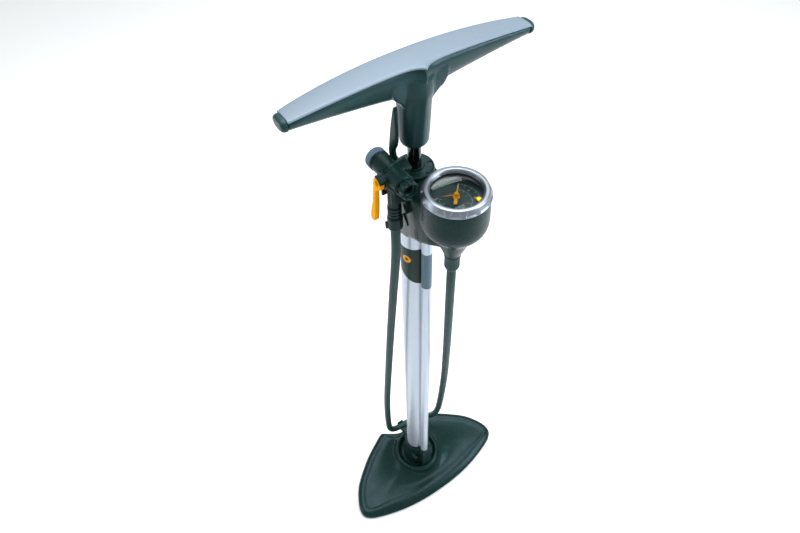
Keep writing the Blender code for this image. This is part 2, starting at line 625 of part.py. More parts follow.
# ---- pump head -----------------------------------------------------------------------------------------------
head_at = (HEAD_X, STEM_Y, HEAD_Z)
head = add("head_body", turned([
    (0, HEAD_Y0), (HEAD_R - 1.0, HEAD_Y0), (HEAD_R, HEAD_Y0 + 1.0), (HEAD_R, HEAD_Y1 - 1.0), (HEAD_R - 1.0, HEAD_Y1), (0, HEAD_Y1)],
    32, (HEAD_X, 0, HEAD_Z), "Y"), "plastic", head_at)
join(head, turned([
    (0, FERRULE_Z1 + GAP), (STEM_R + 0.4, FERRULE_Z1 + GAP), (STEM_R + 0.4, 616.6), (STEM_R - 0.4, 617.0), (STEM_R - 0.4, 618.2),
    (STEM_R + 0.2, 618.6), (STEM_R + 0.2, 623.0), (STEM_R - 0.4, 623.4), (STEM_R - 0.4, 624.6), (STEM_R, 625.0),
    (STEM_R, 656.0), (0, 656.0)], 24, (HEAD_X, STEM_Y, 0)),
    lofted([  # tongue that reaches over the dock arm, its back edge raised
        [(-38.5, -18.0, 669.2), (-36.5, -22.5, 667.3), (-36.5, -22.5, 661.0), (-38.5, -18.0, 661.0)],
        [(-29.6, -15.7, 668.6), (-28.0, -23.0, 666.3), (-28.0, -23.0, 661.0), (-29.6, -15.7, 661.0)],
        [(-20.3, -10.0, 664.0), (-19.0, -20.5, 659.4), (-19.0, -20.5, 656.8), (-20.3, -10.0, 661.4)],
        [(-14.6, -6.6, 661.0), (-14.2, -17.2, 657.0), (-14.2, -17.2, 654.6), (-14.6, -6.6, 658.6)]]))
cut(head,
    rod(5.6, HEAD_Y0 - 5, HEAD_Y0 + 12.5, 20, (HEAD_X, 0, HEAD_Z), "Y"),
    rod(5.6, HEAD_Y1 - 12.5, HEAD_Y1 + 5, 20, (HEAD_X, 0, HEAD_Z), "Y"),
    rod(1.7, HEAD_Y0 + 5, HEAD_Y1 - 5, 10, (HEAD_X, 0, HEAD_Z), "Y"),
    rod(1.7, 600, HEAD_Z, 10, (HEAD_X, STEM_Y, 0)),
    rod(1.75, LEFT_PIVOT[0] - 5, LEFT_PIVOT[0] + 8, 12, (0, LEFT_PIVOT[1], LEFT_PIVOT[2]), "X"),
    rod(1.75, RIGHT_PIVOT[0] - 6.4, RIGHT_PIVOT[0] + 5, 12, (0, RIGHT_PIVOT[1], RIGHT_PIVOT[2]), "X"))
add("hose_ferrule", turned([
    (0, FERRULE_Z0), (FERRULE_R - 0.9, FERRULE_Z0), (FERRULE_R, FERRULE_Z0 + 1.2), (FERRULE_R, FERRULE_Z1 - 2.0),
    (FERRULE_R - 0.8, FERRULE_Z1), (0, FERRULE_Z1)], 24, (HEAD_X, STEM_Y, 0)), "rubber", (HEAD_X, STEM_Y, FERRULE_Z0))
cut(bpy.data.objects["hose_ferrule"], rod(1.7, 590, 620, 10, (HEAD_X, STEM_Y, 0)))


def lobed(r, lobes, depth, steps):
    """Round outline with scallops between its lobes."""
    pts = []
    for i in range(lobes * steps):
        a = 2 * math.pi * i / (lobes * steps)
        pts.append((r - depth * (0.5 - 0.5 * math.cos(lobes * a)) , a))
    return [(q * math.cos(a), q * math.sin(a)) for q, a in pts]


front = add("front_ring", lofted([
    [(HEAD_X + x * s, y, HEAD_Z + z * s) for x, z in lobed(8.4, 8, 1.0, 4)]
    for s, y in ((0.93, HEAD_Y0 - GAP), (1.0, HEAD_Y0 - 1.2), (1.0, -43.0), (0.92, -44.0))]), "plastic",
    (HEAD_X, HEAD_Y0, HEAD_Z))
cut(front, rod(4.4, -60, -30, 20, (HEAD_X, 0, HEAD_Z), "Y"))
add("front_gasket", ring_of(3.4, 5.3, HEAD_Y0 + 0.6, HEAD_Y0 + 8.0, 20, (HEAD_X, 0, HEAD_Z), "Y"), "rubber",
    (HEAD_X, HEAD_Y0, HEAD_Z))
rear = add("rear_cap", lofted([
    [(HEAD_X + x * s, y, HEAD_Z + z * s) for x, z in lobed(9.6, 18, 0.5, 2)]
    for s, y in ((0.97, HEAD_Y1 + GAP), (1.0, HEAD_Y1 + 1.0), (1.0, HEAD_Y1 + 6.2), (0.92, HEAD_Y1 + 7.0))]), "grey", (HEAD_X, HEAD_Y1, HEAD_Z))
cut(rear, rod(4.4, -10, 20, 20, (HEAD_X, 0, HEAD_Z), "Y"))
add("rear_gasket", ring_of(3.4, 5.3, HEAD_Y1 - 8.0, HEAD_Y1 - 0.6, 20, (HEAD_X, 0, HEAD_Z), "Y"), "rubber",
    (HEAD_X, HEAD_Y1, HEAD_Z))


def lever_loops(outline, x0, x1, edge=0.6):
    """Flat lever: its outline in the YZ plane, thickened along X, with eased edges."""
    cy = sum(p[0] for p in outline) / len(outline)
    cz = sum(p[1] for p in outline) / len(outline)

    def loop(x, shrink):
        pts = [Vector(p) for p in outline]
        n, out = len(pts), []
        for i in range(n):
            along = (pts[(i + 1) % n] - pts[i - 1]).normalized()
            out.append(pts[i] + Vector((-along.y, along.x)) * shrink)
        return [(x, p.x, p.y) for p in out]

    return [loop(x0, edge), loop(x0 + edge, 0), loop(x1 - edge, 0), loop(x1, edge)]


def lever_outline(pivot, hub_r, pieces):
    """Hub arc followed by straight-run points, counter-clockwise in (y, z)."""
    start, end = pieces["arc"]
    pts = []
    for i in range(10):
        a = math.radians(start + (end - start) * i / 9)
        pts.append((pivot[1] + hub_r * math.cos(a), pivot[2] + hub_r * math.sin(a)))
    return pts + pieces["run"]


py, pz = LEFT_PIVOT[1], LEFT_PIVOT[2]
left_outline = lever_outline(LEFT_PIVOT, 5.4, {
    "arc": (-15, 200),
    "run": [(py - 4.5, pz - 4.4), (py - 2.2, pz - 6.6), (py + 1.4, pz - 9.4), (py + 3.2, pz - 12.6), (py + 3.9, pz - 23.5),
            (py + 5.3, pz - 38.0), (py + 6.6, pz - 46.5), (py + 8.0, pz - 49.4), (py + 10.8, pz - 50.6), (py + 13.2, pz - 49.6),
            (py + 13.9, pz - 46.5), (py + 12.6, pz - 38), (py + 9.0, pz - 25.9), (py + 7.3, pz - 14.6), (py + 5.9, pz - 6)],
})
left = add("orange_lever", lofted(lever_loops(left_outline, -49.4, -44.4)), "orange", LEFT_PIVOT)
cut(left, rod(1.85, -60, -40, 12, (0, py, pz), "X"))
add("lever_pin_left", turned([(0, -51.0), (2.6, -51.0), (2.6, -49.8), (1.5, -49.8), (1.5, -39.6), (0, -39.6)], 14,
                             (0, py, pz), "X"), "steel", LEFT_PIVOT)

py, pz = RIGHT_PIVOT[1], RIGHT_PIVOT[2]
right_outline = lever_outline(RIGHT_PIVOT, 4.6, {
    "arc": (150, 375),
    "run": [(py + 6.0, pz + 6), (py + 5.4, pz + 12), (py + 3.8, pz + 22), (py + 2.2, pz + 32), (py - 0.4, pz + 44), (py - 2.2, pz + 51.4),
            (py - 3.2, pz + 54.2), (py - 4.4, pz + 54.8), (py - 5.4, pz + 52.8), (py - 5.8, pz + 48), (py - 6.3, pz + 36),
            (py - 6.2, pz + 25), (py - 4.6, pz + 17.5), (py - 1.6, pz + 10.5)],
})
right = add("black_lever", lofted(lever_loops(right_outline, -23.6, -20.3)), "plastic", RIGHT_PIVOT)
cut(right, rod(1.85, -30, -10, 12, (0, py, pz), "X"))
add("lever_pin_right", turned([(0, -27.9), (1.5, -27.9), (1.5, -19.5), (2.5, -19.5), (2.5, -18.4), (0, -18.4)], 14,
                              (0, py, pz), "X"), "steel", RIGHT_PIVOT)

# ---- piston and rod --------------------------------------------------------------------------------------------
slide_at = (0, 0, PISTON_Z0)
add("piston_head", turned([
    (4.3, PISTON_Z0), (11.4, PISTON_Z0), (12.5, PISTON_Z0 + 1.1), (12.5, 51.6), (9.4, 51.6), (9.4, 57.0), (12.5, 57.0),
    (12.5, PISTON_Z1 - 0.8), (11.7, PISTON_Z1), (4.3, PISTON_Z1)], 32), "plastic", slide_at)
add("piston_cup", turned([
    (9.7, 51.9), (12.6, 51.9), (12.75, 53.0), (12.3, 56.7), (9.7, 56.7)], 32), "rubber", slide_at)
nut = circle(7.4, 6)
piston_nut = add("piston_nut", lofted([[(x, y, z) for x, y in nut] for z in (44.6, PISTON_Z0 - GAP)]), "steel", slide_at,
                 smooth=False)
cut(piston_nut, rod(4.25, 40, 50, 20))
add("piston_rod", turned([
    (0, 45.0), (4.0, 45.0), (4.0, PISTON_Z1 + GAP), (ROD_R, PISTON_Z1 + GAP), (ROD_R, ROD_TOP_Z), (0, ROD_TOP_Z)], 28),
    "rodsteel", slide_at)
cut(bpy.data.objects["piston_rod"], rod(2.3, 696, 720, 12))
add("rod_bumper", ring_of(ROD_R + 0.3, 10.8, PISTON_Z1 + 0.8, PISTON_Z1 + 8.5, 28, bevel=1.0), "rubber", slide_at)


# ---- handle -----------------------------------------------------------------------------------------------------
def arm_shape(x):
    """Half widths and heights of the T handle at x: front y, back y, top z, bottom z."""
    u = abs(x) / HANDLE_PLATE_HALF
    back = 17.0 - 8.2 * u**2.6
    front = -(8.8 + 1.4 * math.cos(min(u, 1.0) * math.pi / 2)) - 7.8 * math.exp(-abs(x) / 6.5)
    top = 742.3 - 5.6 * u**1.8
    bottom = 710.9 + 15.8 * u**0.9
    return front, back, top, bottom


def arm_section(x, plate=False, n=9):
    front, back, top, bottom = arm_shape(x)
    if plate:
        low = top - PLATE_T
        mid = (front + back) / 2
        return [(x, front + 0.5, low), (x, front, low + 0.9), (x, front + 1.2, top - 0.35), (x, mid, top + 0.3),
                (x, back - 1.2, top - 0.35), (x, back, low + 0.9), (x, back - 0.5, low)]
    high = top - PLATE_T - GAP
    mid, half = (front + back) / 2, (back - front) / 2
    pts = [(x, back, high)]
    for i in range(1, n):
        a = math.pi * i / n
        pts.append((x, mid + half * math.copysign(abs(math.cos(a)) ** 0.8, math.cos(a)), high - (high - bottom) * math.sin(a) ** 0.75))
    pts.append((x, front, high))
    return pts


stations = [-1.0, -0.93, -0.8, -0.64, -0.48, -0.34, -0.22, -0.13, -0.07, -0.03, 0.0, 0.03, 0.07, 0.13, 0.22, 0.34, 0.48, 0.64, 0.8, 0.93, 1.0]
xs = [s * HANDLE_PLATE_HALF for s in stations]
grip = add("handle_body", lofted([arm_section(x) for x in xs]), "plastic", (0, 0, COLUMN_Z0))


def column_loop(z, r, beak, n=26):
    """Round column with a soft ridge down its front."""
    pts = []
    for i in range(n):
        a = 2 * math.pi * i / n
        x, y = r * math.cos(a), r * math.sin(a)
        if y < 0:
            y -= beak * max(0.0, 1 - abs(x) / (r * 0.8)) ** 1.3
        pts.append((x, y, z))
    return pts


column = lofted([
    column_loop(COLUMN_Z0, 9.8, 0), column_loop(COLUMN_Z0 + 1.0, 11.4, 0), column_loop(COLUMN_Z0 + 3.2, 12.6, 0.1),
    column_loop(677, 13.2, 0.4), column_loop(690, 13.9, 1.0), column_loop(704, 14.3, 1.8), column_loop(712, 15.0, 2.3),
    column_loop(718, 16.4, 2.2), column_loop(724, 16.6, 1.4), column_loop(730, 16.4, 0.6)])
flare = lofted([[(sx * w, y * d, z) for sx, y in ((-1, -1), (1, -1), (1, 1), (-1, 1))] for z, w, d in
                ((703, 9.5, 6.0), (708, 14.8, 7.5), (713, 17.5, 9.0), (718, 22.5, 10.0), (724, 25.0, 10.5), (731, 25.0, 10.5))])
join(grip, column, flare)
cut(grip, rod(ROD_R + 0.3, 640, ROD_TOP_Z + GAP, 28), rod(2.6, 700, 760, 14), rod(5.4, 731.5, 760, 20))
add("handle_top_plate", lofted([arm_section(x, plate=True) for x in xs]), "plate", (0, 0, 740))
add("handle_screw", turned([
    (0, 700.0), (2.0, 700.0), (2.0, 731.9), (4.8, 731.9), (4.8, 735.0), (3.8, 736.0), (0, 736.0)], 16), "steel", (0, 0, 730))
for side, sx in (("left", -1), ("right", 1)):
    loops = []
    for dx, s in ((0.3, 1.0), (2.0, 0.98), (3.7, 0.91), (4.7, 0.78), (5.1, 0.6)):
        front, back, top, bottom = arm_shape(HANDLE_PLATE_HALF)
        top += 0.1
        mid, half, zc, zh = (front + back) / 2, (back - front) / 2 * s, (top + bottom) / 2, (top - bottom) / 2 * s
        loop = []
        for i in range(20):
            a = 2 * math.pi * i / 20
            c, t = math.cos(a), math.sin(a)
            loop.append((sx * (HANDLE_PLATE_HALF + dx), mid + half * math.copysign(abs(c) ** 0.7, c),
                         zc + zh * math.copysign(abs(t) ** 0.8, t)))
        loops.append(loop)
    add(f"handle_end_cap_{side}", lofted(loops), "rubber", (sx * HANDLE_PLATE_HALF, 0, 732))

# ---- moving assemblies hang from empties on their joint axes ------------------------------------------------------
GROUPS = {
    "handle_slide_axis": ((0, 0, PISTON_Z0), ["piston_head", "piston_cup"], None),
    "handle_swivel_axis": ((0, 0, COLUMN_Z0), [
        "piston_rod", "piston_nut", "rod_bumper", "handle_body", "handle_top_plate", "handle_screw",
        "handle_end_cap_left", "handle_end_cap_right"], "handle_slide_axis"),
    "bezel_axis": ((0, GAUGE_Y, 652), ["bezel_ring", "gauge_lens", "set_hand", "target_marker"], None),
    "sector_axis": ((SECTOR[0], SECTOR[1], 626), ["sector_gear"], None),
    "needle_axis": ((0, GAUGE_Y, 640), ["needle", "needle_shaft"], None),
    "valve_axis": (poppet_at, ["valve_poppet"], None),
    "head_slide_axis": (head_at, ["head_body", "hose_ferrule", "lever_pin_left", "lever_pin_right"], None),
    "front_ring_axis": ((HEAD_X, HEAD_Y0, HEAD_Z), ["front_ring", "front_gasket"], "head_slide_axis"),
    "rear_cap_axis": ((HEAD_X, HEAD_Y1, HEAD_Z), ["rear_cap", "rear_gasket"], "head_slide_axis"),
    "orange_lever_axis": (LEFT_PIVOT, ["orange_lever"], "head_slide_axis"),
    "black_lever_axis": (RIGHT_PIVOT, ["black_lever"], "head_slide_axis"),
}
for name, (at, members, parent) in GROUPS.items():
    empty = bpy.data.objects.new(name, None)
    empty.empty_display_size = 0.01
    bpy.context.scene.collection.objects.link(empty)
    offset = Vector((0, 0, 0))
    if parent:
        empty.parent = bpy.data.objects[parent]
        offset = Vector(GROUPS[parent][0]) * MM
    empty.location = Vector(at) * MM - offset
    for member in members:
        obj = bpy.data.objects[member]
        obj.parent = empty
        obj.location = obj.location - Vector(at) * MM
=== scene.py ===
import math

import bmesh
import bpy
import numpy as np
from mathutils import Matrix, Vector


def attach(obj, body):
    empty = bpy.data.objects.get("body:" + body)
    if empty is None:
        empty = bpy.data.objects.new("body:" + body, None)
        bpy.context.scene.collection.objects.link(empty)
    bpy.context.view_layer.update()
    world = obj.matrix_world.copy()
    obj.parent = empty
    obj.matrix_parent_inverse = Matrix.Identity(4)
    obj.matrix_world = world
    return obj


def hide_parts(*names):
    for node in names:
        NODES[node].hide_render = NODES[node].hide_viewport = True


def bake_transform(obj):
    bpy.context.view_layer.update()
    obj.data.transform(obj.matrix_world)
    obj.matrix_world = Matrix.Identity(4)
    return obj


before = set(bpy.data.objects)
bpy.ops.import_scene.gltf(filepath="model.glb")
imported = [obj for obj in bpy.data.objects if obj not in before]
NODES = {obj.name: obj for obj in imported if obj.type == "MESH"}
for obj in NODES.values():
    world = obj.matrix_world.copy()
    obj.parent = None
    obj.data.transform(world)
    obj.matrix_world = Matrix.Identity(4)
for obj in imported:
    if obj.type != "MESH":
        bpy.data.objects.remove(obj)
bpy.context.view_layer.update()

MM = 0.001
SCENE = bpy.context.scene


# ---------------------------------------------------------------------------------- helpers: mesh
def finish_mesh(name, bm, origin_mm=None):
    bmesh.ops.remove_doubles(bm, verts=bm.verts, dist=1e-4)
    bmesh.ops.recalc_face_normals(bm, faces=bm.faces)
    bmesh.ops.scale(bm, verts=bm.verts, vec=(MM, MM, MM))
    mesh = bpy.data.meshes.new(name)
    bm.to_mesh(mesh)
    bm.free()
    obj = bpy.data.objects.new(name, mesh)
    SCENE.collection.objects.link(obj)
    return obj


def shade(obj, angle=32):
    obj.data.shade_smooth()
    if angle:
        obj.data.set_sharp_from_angle(angle=math.radians(angle))
    return obj


def bake(obj):
    """Turns the modifiers into the mesh itself."""
    dg = bpy.context.evaluated_depsgraph_get()
    dg.update()
    made = bpy.data.meshes.new_from_object(obj.evaluated_get(dg), preserve_all_data_layers=True, depsgraph=dg)
    old = obj.data
    obj.modifiers.clear()
    obj.data = made
    name = old.name
    bpy.data.meshes.remove(old)
    made.name = name
    return obj


def boolean(obj, others, operation="DIFFERENCE"):
    for other in others:
        m = obj.modifiers.new("b", "BOOLEAN")
        m.operation = operation
        m.solver = "EXACT"
        m.object = other
    bake(obj)
    for other in others:
        mesh = other.data
        bpy.data.objects.remove(other, do_unlink=True)
        bpy.data.meshes.remove(mesh)
    return obj


def cut(obj, *bms):
    return boolean(obj, [finish_mesh("tool", b) for b in bms])


def unite(obj, *bms):
    return boolean(obj, [finish_mesh("tool", b) for b in bms], "UNION")


def merge(name, *bms):
    """Several closed shells as one mesh, before a remesh joins them."""
    whole = bmesh.new()
    for b in bms:
        part = bpy.data.meshes.new("part")
        b.to_mesh(part)
        b.free()
        whole.from_mesh(part)
        bpy.data.meshes.remove(part)
    return finish_mesh(name, whole)


def fuse(obj, voxel, steps, factor=0.5):
    """Joins overlapping shells into one skin with moulded fillets."""
    m = obj.modifiers.new("r", "REMESH")
    m.mode = "VOXEL"
    m.voxel_size = voxel * MM * 1.0
    m.adaptivity = 0
    m.use_smooth_shade = True
    s = obj.modifiers.new("s", "SMOOTH")
    s.factor = factor
    s.iterations = max(1, int(steps * (1.0)))
    return bake(obj)


def rounded_edges(obj, width, segments=2, angle=38):
    m = obj.modifiers.new("bevel", "BEVEL")
    m.width = width * MM
    m.segments = segments
    m.limit_method = "ANGLE"
    m.angle_limit = math.radians(angle)
    m.use_clamp_overlap = True
    m.miter_outer = "MITER_ARC"
    return bake(obj)


# ---------------------------------------------------------------------------------- helpers: shapes, in millimetres
AXES = {
    "Z": (Vector((1, 0, 0)), Vector((0, 1, 0)), Vector((0, 0, 1))),
    "Y": (Vector((0, 0, 1)), Vector((1, 0, 0)), Vector((0, 1, 0))),
    "X": (Vector((0, 1, 0)), Vector((0, 0, 1)), Vector((1, 0, 0))),
}


def soften(profile, r=0.5, n=4, closed=False):
    pts = [Vector(p) for p in profile]
    out = []
    for i, p in enumerate(pts):
        if not closed and i in (0, len(pts) - 1):
            out.append(p)
            continue
        d1, d2 = pts[i - 1] - p, pts[(i + 1) % len(pts)] - p
        l1, l2 = d1.length, d2.length
        if l1 < 1e-6 or l2 < 1e-6 or (-d1).angle(d2) < math.radians(6):
            out.append(p)
            continue
        c = min(r, l1 * 0.45, l2 * 0.45)
        s, e = p + d1.normalized() * c, p + d2.normalized() * c
        for k in range(n + 1):
            t = k / n
            out.append(s * (1 - t) ** 2 + p * 2 * t * (1 - t) + e * t * t)
    return out


def turned(profile, segs=96, at=(0, 0, 0), axis="Z", soft=0.0, n=4, shape=None):
    """Profile of (radius, height) turned about an axis. shape(angle, r, h) may change the radius."""
    u, v, w = AXES[axis]
    closed = profile[0][0] > 1e-6 or profile[-1][0] > 1e-6
    pts = soften(profile, soft, n, closed) if soft else [Vector(p) for p in profile]
    bm = bmesh.new()
    base = Vector(at)
    rings = []
    for r, h in pts:
        if r < 1e-6:
            rings.append([bm.verts.new(base + w * h)])
        else:
            ring = []
            for i in range(segs):
                a = 2 * math.pi * i / segs
                q = shape(a, r, h) if shape else r
                ring.append(bm.verts.new(base + (u * math.cos(a) + v * math.sin(a)) * q + w * h))
            rings.append(ring)
    count = len(rings)
    for k in range(count if closed else count - 1):
        a, b = rings[k], rings[(k + 1) % count]
        for i in range(segs):
            j = (i + 1) % segs
            if len(a) == 1 and len(b) == 1:
                continue
            if len(a) == 1:
                bm.faces.new((a[0], b[i], b[j]))
            elif len(b) == 1:
                bm.faces.new((a[i], b[0], a[j]))
            else:
                bm.faces.new((a[i], b[i], b[j], a[j]))
    return bm


def rod(r, h0, h1, segs=48, at=(0, 0, 0), axis="Z", soft=0.0):
    return turned([(0, h0), (r, h0), (r, h1), (0, h1)], segs, at, axis, soft)


def tube(r0, r1, h0, h1, segs=72, at=(0, 0, 0), axis="Z", soft=0.3):
    return turned([(r0, h0), (r1, h0), (r1, h1), (r0, h1)], segs, at, axis, soft)


def loft(loops, cap=True, wrap=False):
    bm = bmesh.new()
    rings = [[bm.verts.new(p) for p in loop] for loop in loops]
    n = len(rings[0])
    spans = len(rings) if wrap else len(rings) - 1
    for k in range(spans):
        a, b = rings[k], rings[(k + 1) % len(rings)]
        for i in range(n):
            j = (i + 1) % n
            bm.faces.new((a[i], a[j], b[j], b[i]))
    if cap and not wrap:
        bm.faces.new(list(reversed(rings[0])))
        bm.faces.new(rings[-1])
    return bm


def block(x0, x1, y0, y1, z0, z1):
    return loft([[(x, y, z) for x, y in ((x0, y0), (x1, y0), (x1, y1), (x0, y1))] for z in (z0, z1)])


def spline(points, per_span, closed=False):
    pts = [Vector(p) for p in points]
    n = len(pts)
    out = []
    for i in range(n if closed else n - 1):
        if closed:
            a, b, c, d = pts[i - 1], pts[i], pts[(i + 1) % n], pts[(i + 2) % n]
        else:
            a, b, c, d = pts[max(i - 1, 0)], pts[i], pts[i + 1], pts[min(i + 2, n - 1)]
        for k in range(per_span):
            t = k / per_span
            out.append(0.5 * (2 * b + (c - a) * t + (2 * a - 5 * b + 4 * c - d) * t * t + (3 * b - a - 3 * c + d) * t ** 3))
    if not closed:
        out.append(pts[-1])
    return out


def even(points, count, closed):
    pts = list(points) + ([points[0]] if closed else [])
    run = [0.0]
    for a, b in zip(pts, pts[1:]):
        run.append(run[-1] + (b - a).length)
    out, k = [], 0
    steps = count if closed else count - 1
    for i in range(count):
        s = run[-1] * i / steps
        while k < len(run) - 2 and run[k + 1] < s:
            k += 1
        span = run[k + 1] - run[k]
        out.append(pts[k].lerp(pts[k + 1], (s - run[k]) / span if span > 1e-9 else 0.0))
    return out


def inset(loop, distance):
    n = len(loop)
    out = []
    for i in range(n):
        along = (loop[(i + 1) % n] - loop[i - 1]).normalized()
        out.append(loop[i] + Vector((-along.y, along.x)) * distance)
    return out


def relaxed(loop, amount):
    n = len(loop)
    return [loop[i].lerp((loop[i - 1] + loop[(i + 1) % n]) / 2, amount) for i in range(n)]


def pillow(outline, x0, x1, edge, steps=4, place=lambda x, p: (x, p.x, p.y), crown=0.0):
    """A flat piece with rounded edges: its outline thickened from x0 to x1."""
    loops = []
    for side, sign in ((x0, 1), (x1, -1)):
        # from the face towards the middle of the edge
        part = [(x, s) for x, s in ((side + sign * edge * (1 - math.cos(math.pi / 2 * k / steps)),
                                     edge * (1 - math.sin(math.pi / 2 * k / steps))) for k in range(steps + 1))]
        loops.append(part)
    rows = loops[0] + loops[1][::-1]
    out = []
    for x, s in rows:
        shape = inset(outline, s)
        out.append([place(x, p) for p in shape])
    return loft(out)


# ---------------------------------------------------------------------------------- helpers: materials
class Tree:
    def __init__(self, name):
        self.mat = bpy.data.materials.new(name)
        self.mat.use_nodes = True
        self.nt = self.mat.node_tree
        self.shader = self.nt.nodes["Principled BSDF"]
        self.place = self.add("ShaderNodeTexCoord").outputs["Object"]

    def add(self, kind, **props):
        node = self.nt.nodes.new(kind)
        for k, v in props.items():
            setattr(node, k, v)
        return node

    def link(self, a, b):
        self.nt.links.new(a, b)

    def feed(self, socket, value):
        if isinstance(value, bpy.types.NodeSocket):
            self.link(value, socket)
        else:
            socket.default_value = value

    def math(self, op, a, b=0.0, c=0.0, clamp=False):
        node = self.add("ShaderNodeMath", operation=op, use_clamp=clamp)
        self.feed(node.inputs[0], a)
        self.feed(node.inputs[1], b)
        if len(node.inputs) > 2:
            self.feed(node.inputs[2], c)
        return node.outputs[0]

    def scaled(self, sx, sy, sz, source=None):
        node = self.add("ShaderNodeMapping")
        self.link(source or self.place, node.inputs["Vector"])
        node.inputs["Scale"].default_value = (sx, sy, sz)
        return node.outputs[0]

    def noise(self, scale, detail=3.0, rough=0.55, vector=None, distortion=0.0):
        node = self.add("ShaderNodeTexNoise")
        self.link(vector or self.place, node.inputs["Vector"])
        node.inputs["Scale"].default_value = scale
        node.inputs["Detail"].default_value = detail
        node.inputs["Roughness"].default_value = rough
        node.inputs["Distortion"].default_value = distortion
        return node.outputs["Fac"]

    def ramp(self, value, a, b, lo=0.0, hi=1.0, smooth=False):
        node = self.add("ShaderNodeMapRange", clamp=True)
        if smooth:
            node.interpolation_type = "SMOOTHSTEP"
        self.feed(node.inputs["Value"], value)
        for k, v in (("From Min", a), ("From Max", b), ("To Min", lo), ("To Max", hi)):
            self.feed(node.inputs[k], v)
        return node.outputs["Result"]

    def mix(self, factor, a, b):
        node = self.add("ShaderNodeMix", data_type="RGBA")
        self.feed(node.inputs[0], factor)
        for socket, value in ((node.inputs[6], a), (node.inputs[7], b)):
            if isinstance(value, bpy.types.NodeSocket):
                self.link(value, socket)
            else:
                socket.default_value = (*value, 1.0)
        return node.outputs[2]

    def xyz(self, source=None):
        node = self.add("ShaderNodeSeparateXYZ")
        self.link(source or self.place, node.inputs[0])
        return node.outputs

    def bump(self, height, strength, distance, normal=None):
        node = self.add("ShaderNodeBump")
        self.feed(node.inputs["Height"], height)
        node.inputs["Strength"].default_value = strength
        node.inputs["Distance"].default_value = distance
        if normal:
            self.link(normal, node.inputs["Normal"])
        return node.outputs[0]

    def set(self, **values):
        names = {"color": "Base Color", "rough": "Roughness", "metal": "Metallic", "spec": "Specular IOR Level",
                 "tint": "Specular Tint", "normal": "Normal", "coat": "Coat Weight", "coat_rough": "Coat Roughness",
                 "aniso": "Anisotropic", "transmission": "Transmission Weight", "ior": "IOR", "sheen": "Sheen Weight",
                 "alpha": "Alpha", "sss": "Subsurface Weight"}
        for k, v in values.items():
            socket = self.shader.inputs[names[k]]
            if isinstance(v, bpy.types.NodeSocket):
                self.link(v, socket)
            elif isinstance(v, tuple) and len(v) == 3:
                socket.default_value = (*v, 1.0) if socket.type == "RGBA" else v
            else:
                socket.default_value = v
        return self


def scaled_colour(c, k):
    return tuple(min(1.0, x * k) for x in c)


def moulded(name, colour, rough=0.42, spec=0.4, tint=(0.72, 0.88, 1.0), grain=1500, depth=0.00003, strength=0.25,
            vary=0.12, coat=0.0, edge_highlight=0.25):
    """Moulded plastic: fine spark-eroded grain, soft mottling, dull and shiny patches, and a painted highlight that
    makes convex edges slightly paler.
    """
    t = Tree(name)
    big = t.noise(38, 3, 0.5)
    fine = t.noise(grain, 2, 0.5)
    smear = t.noise(90, 4, 0.6, t.scaled(1, 1, 0.35))
    low, high = scaled_colour(colour, 1 - vary), scaled_colour(colour, 1 + vary)
    tone = t.mix(t.ramp(big, 0.35, 0.65), low, high)
    tone = t.mix(t.ramp(fine, 0.45, 0.75, 0.0, 0.25), tone, scaled_colour(colour, 1.5))
    point = t.add("ShaderNodeNewGeometry").outputs["Pointiness"]
    # painted highlight: convex edges, where pointiness is high, are mixed towards a paler copy of the colour
    edge = t.math("MULTIPLY", t.ramp(point, 0.53, 0.62, 0.0, edge_highlight), t.ramp(smear, 0.35, 0.7, 0.4, 1.0))
    tone = t.mix(edge, tone, scaled_colour(colour, 3.0))
    roughness = t.math("ADD", t.ramp(smear, 0.3, 0.7, rough - 0.05, rough + 0.05), t.math("MULTIPLY", edge, 0.08))
    normal = t.bump(fine, strength, depth)
    t.set(color=tone, rough=roughness, spec=spec, tint=tint, normal=normal, coat=coat, coat_rough=0.25)
    return t.mat


def metal(name, colour, rough=0.3, metalness=1.0, brushed=None, grain=2500, depth=0.00001, spec=0.5, strength=0.2):
    """Metal with a fine finish; brushed gives the direction along which it was drawn or turned."""
    t = Tree(name)
    if brushed == "z":
        v = t.scaled(2600, 2600, 22)
        lines = t.noise(1.0, 3, 0.6, v)
    elif brushed == "turned":
        lines = t.noise(1.0, 3, 0.6, t.scaled(60, 60, 5200))
    else:
        lines = t.noise(grain, 3, 0.6)
    blotch = t.noise(55, 3, 0.5)
    tone = t.mix(t.ramp(lines, 0.3, 0.7), scaled_colour(colour, 0.93), scaled_colour(colour, 1.05))
    tone = t.mix(t.ramp(blotch, 0.4, 0.7, 0.0, 0.25), tone, scaled_colour(colour, 0.9))
    roughness = t.math("ADD", t.ramp(lines, 0.3, 0.7, rough - 0.04, rough + 0.05), t.ramp(blotch, 0.35, 0.7, -0.02, 0.04))
    t.set(color=tone, rough=roughness, metal=metalness, spec=spec, normal=t.bump(lines, strength, depth))
    return t.mat


def rubber(name, colour, rough=0.62, spec=0.3, tint=(0.75, 0.9, 1.0), grain=2200, depth=0.00003):
    t = Tree(name)
    fine, dust = t.noise(grain, 3, 0.6), t.noise(120, 5, 0.65)
    tone = t.mix(t.ramp(dust, 0.4, 0.75, 0.0, 0.5), colour, scaled_colour(colour, 1.7))
    t.set(color=tone, rough=t.ramp(dust, 0.3, 0.7, rough - 0.06, rough + 0.08), spec=spec, tint=tint,
          normal=t.bump(fine, 0.3, depth))
    return t.mat


def give(obj, mat):
    obj.data.materials.clear()
    obj.data.materials.append(mat)
    return obj


def put(obj, mat, slot, body, *nodes, angle=32):
    """Shaded, painted, riding on its body and standing for its CAD nodes."""
    shade(obj, angle)
    give(obj, mat)
    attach(obj, body)
    if nodes:
        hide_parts(*nodes)
    return obj


def paint(mat, *names):
    for n in names:
        o = NODES[n]
        o.data.materials.clear()
        o.data.materials.append(mat)
        o.data.shade_smooth()
        o.data.set_sharp_from_angle(angle=math.radians(35))


